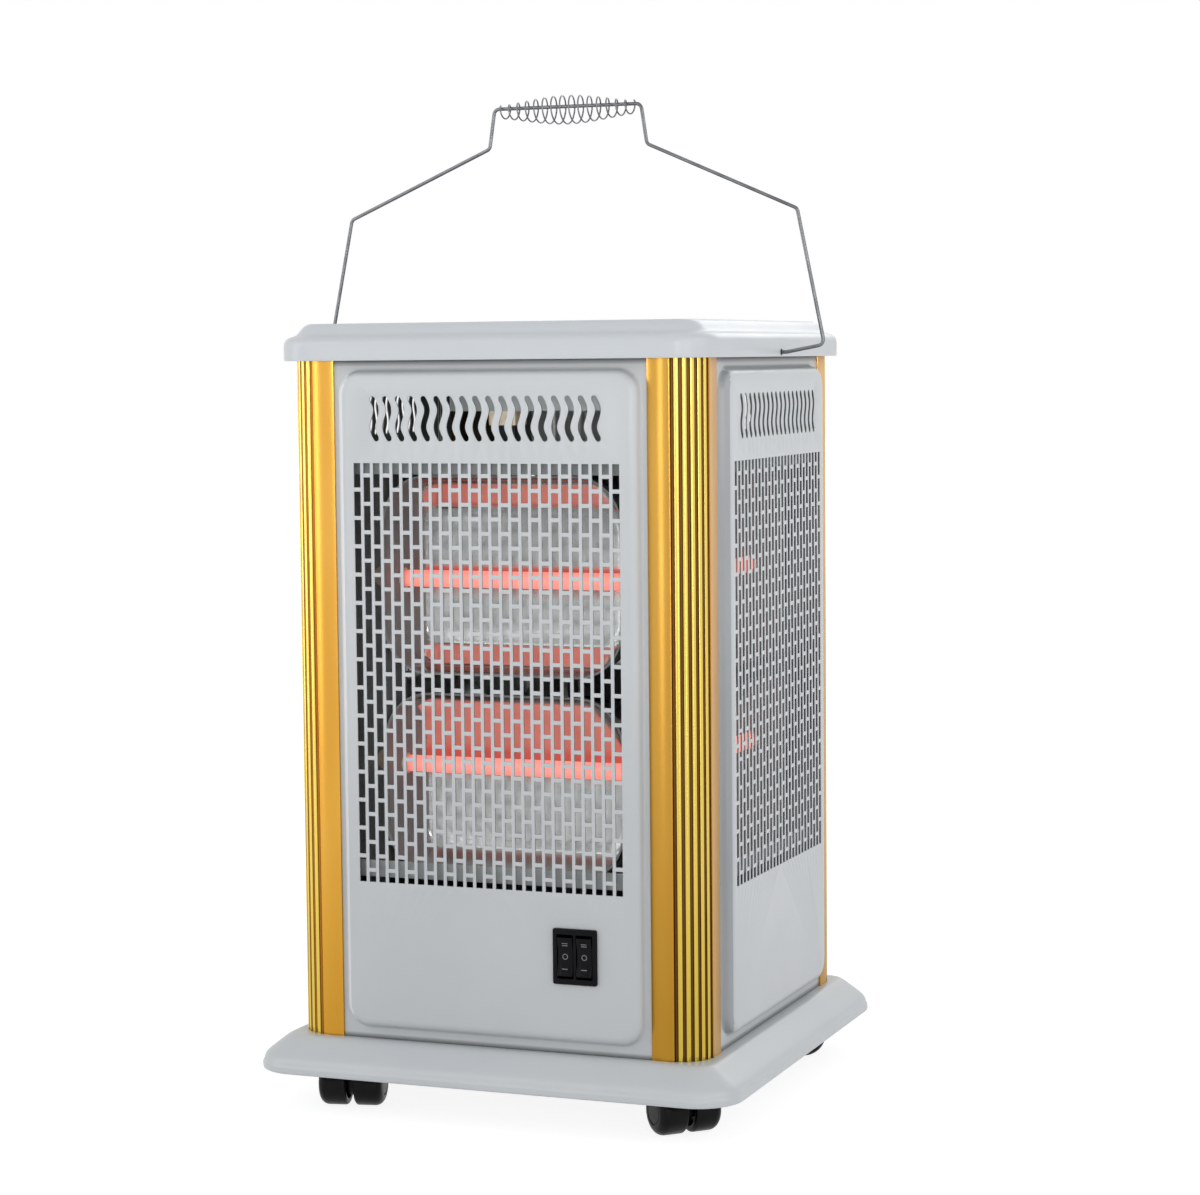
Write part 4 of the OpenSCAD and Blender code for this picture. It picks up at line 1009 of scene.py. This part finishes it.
def softened(node, width, angle=40):
    """Joins a CAD node's split faces and rounds its edges a little."""
    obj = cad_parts[node]
    weld = obj.modifiers.new("weld", "WELD")
    weld.merge_threshold = 2e-6
    bevel = obj.modifiers.new("edges", "BEVEL")
    bevel.width = width * MM
    bevel.segments = 2
    bevel.limit_method = "ANGLE"
    bevel.angle_limit = radians(angle)


FINISH = {
    "lower_shelf": (inner_steel, 0.25), "upper_shelf": (inner_steel, 0.25), "terminal_box": (box_grey, 0.25),
    "terminal_block": (ceramic, 0.5), "ceramic_caps": (ceramic, 0.5), "wiring": (lead, 0),
    "filaments": (filament, 0), "tip_over_switch": (plastic, 0.6), "cord_gland": (plastic, 0.4),
    "lid_screws": (zinc, 0.3), "base_screws": (zinc, 0.3), "leg_screws": (zinc, 0.3),
    "caster_sockets": (plastic, 0.4),
}
for side in SIDES:
    FINISH["brackets_" + side] = (inner_steel, 0.2)
for corner in CORNERS:
    FINISH["caster_" + corner] = (plastic, 0.5)
    FINISH["axle_" + corner] = (zinc, 0.2)
for node, (look, width) in FINISH.items():
    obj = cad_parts[node]
    obj.data.materials.clear()
    obj.data.materials.append(look)
    if width:
        softened(node, width)
for node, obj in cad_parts.items():
    if node not in FINISH:
        obj.data.materials.clear()
        obj.data.materials.append(enamel)


# ---------------------------------------------------------------- camera, floor and light

def camera():
    """The photograph's view: 90 mm on a 36 mm sensor, from 2.06 m, at about the height of the lid."""
    yaw, pitch, roll = radians(21.2533), radians(4.5939), radians(-0.5496)
    distance, shift_x, shift_y = 2.0602, 0.01865, 0.03064
    forward = Vector((-sin(yaw) * cos(pitch), cos(yaw) * cos(pitch), -sin(pitch)))
    level = Vector((cos(yaw), sin(yaw), 0))
    upright = level.cross(forward)
    right = level * cos(roll) + upright * sin(roll)
    up = upright * cos(roll) - level * sin(roll)
    place = Vector((0, 0, 0.3)) - forward * distance + right * shift_x + up * shift_y
    data = bpy.data.cameras.new("camera")
    data.lens, data.sensor_width = 90.49, 36.0
    data.clip_start, data.clip_end = 0.05, 60
    obj = bpy.data.objects.new("camera", data)
    bpy.context.scene.collection.objects.link(obj)
    obj.matrix_world = Matrix((
        (right.x, up.x, -forward.x, place.x),
        (right.y, up.y, -forward.y, place.y),
        (right.z, up.z, -forward.z, place.z),
        (0, 0, 0, 1)))
    bpy.context.scene.camera = obj


def seen_directly(tree):
    """1 for a ray from the camera, from a glossy surface or through glass."""
    path = tree.nodes.new("ShaderNodeLightPath")
    direct = math_in(tree, "MAXIMUM", path.outputs["Is Camera Ray"], path.outputs["Is Glossy Ray"])
    return math_in(tree, "MAXIMUM", direct, path.outputs["Is Transmission Ray"])


def surroundings():
    """Soft light from all round, which shows as plain white where it is seen directly."""
    world = bpy.data.worlds.new("surroundings")
    bpy.context.scene.world = world
    world.use_nodes = True
    tree = world.node_tree
    tree.nodes.clear()
    soft = tree.nodes.new("ShaderNodeBackground")
    soft.inputs["Color"].default_value = (0.92, 0.96, 1.0, 1)
    soft.inputs["Strength"].default_value = 0.52
    white = tree.nodes.new("ShaderNodeBackground")
    white.inputs["Color"].default_value = (1, 1, 1, 1)
    mix = tree.nodes.new("ShaderNodeMixShader")
    out = tree.nodes.new("ShaderNodeOutputWorld")
    tree.links.new(seen_directly(tree), mix.inputs["Fac"])
    tree.links.new(soft.outputs[0], mix.inputs[1])
    tree.links.new(white.outputs[0], mix.inputs[2])
    tree.links.new(mix.outputs[0], out.inputs["Surface"])


def floor_material():
    """A pale matt floor that keeps the object's shadow and glows to white away from it."""
    mat = bpy.data.materials.new("floor")
    mat.use_nodes = True
    tree = mat.node_tree
    tree.nodes.clear()
    direct = seen_directly(tree)
    grain = noise_in(tree, 20, 3)
    full = ramp_in(tree, grain, [(0.3, even(0.86)), (0.7, even(0.88))])
    shade = ramp_in(tree, grain, [(0.3, even(0.29)), (0.7, even(0.31))])
    matt = tree.nodes.new("ShaderNodeBsdfDiffuse")
    tree.links.new(mix_in(tree, direct, full, shade), matt.inputs["Color"])
    away = tree.nodes.new("ShaderNodeVectorMath")
    away.operation = "LENGTH"
    tree.links.new(object_place(tree), away.inputs[0])
    far = range_in(tree, away.outputs["Value"], (0.3, 0.9), (0.87, 1.0))
    glow = tree.nodes.new("ShaderNodeEmission")
    tree.links.new(math_in(tree, "MULTIPLY", direct, far), glow.inputs["Strength"])
    both = tree.nodes.new("ShaderNodeAddShader")
    out = tree.nodes.new("ShaderNodeOutputMaterial")
    tree.links.new(matt.outputs[0], both.inputs[0])
    tree.links.new(glow.outputs[0], both.inputs[1])
    tree.links.new(both.outputs[0], out.inputs["Surface"])
    return mat


def floor():
    half = 15
    data = bpy.data.meshes.new("floor")
    data.from_pydata([(x * half, y * half, 0) for x, y in SQUARE], [], [(0, 1, 2, 3)])
    data.materials.append(floor_material())
    obj = bpy.data.objects.new("floor", data)
    bpy.context.scene.collection.objects.link(obj)


def lamp(name, place, target, size, watts):
    data = bpy.data.lights.new(name, "AREA")
    data.shape = "RECTANGLE"
    data.size, data.size_y = size
    data.energy = watts
    obj = bpy.data.objects.new(name, data)
    bpy.context.scene.collection.objects.link(obj)
    obj.location = place
    obj.rotation_mode = "QUATERNION"
    obj.rotation_quaternion = (Vector(target) - Vector(place)).to_track_quat("-Z", "Y")
    return obj


def lamps():
    middle = (0, 0, 0.3)
    lamp("key", (-1.6, -1.9, 1.9), middle, (1.4, 1.4), 8)
    # A small lamp by the camera, for what shows through the mesh
    lamp("front", (0.66, -1.9, 0.62), middle, (0.3, 0.3), 3)
    lamp("right", (2.4, -0.6, 1.5), middle, (1.2, 1.6), 11)
    lamp("back", (0.4, 2.4, 1.8), middle, (1.6, 1.2), 12)
    # Tall strips, which show as bright lines along the reeds and the left wing of the posts
    lamp("strip_right", (1.5, -1.75, 0.5), (0, 0, 0.5), (0.22, 2.0), 7)
    lamp("strip_left", (-2.0, -1.0, 0.5), (0, 0, 0.5), (0.3, 2.0), 9)
    lamp("strip_wing", (-0.85, -1.6, 0.45), (-0.1, -0.1, 0.3), (0.25, 0.8), 1.2)
    # A dim lamp inside, on the upper shelf, for the box, block and leads that show through the vents
    inside = lamp("inside", (0.02, -0.125, 0.437), (0.02, -0.06, 0.48), (0.14, 0.012), 0.034)
    inside.visible_camera = False


camera()
surroundings()
floor()
lamps()
bpy.context.scene.view_settings.view_transform = "Standard"
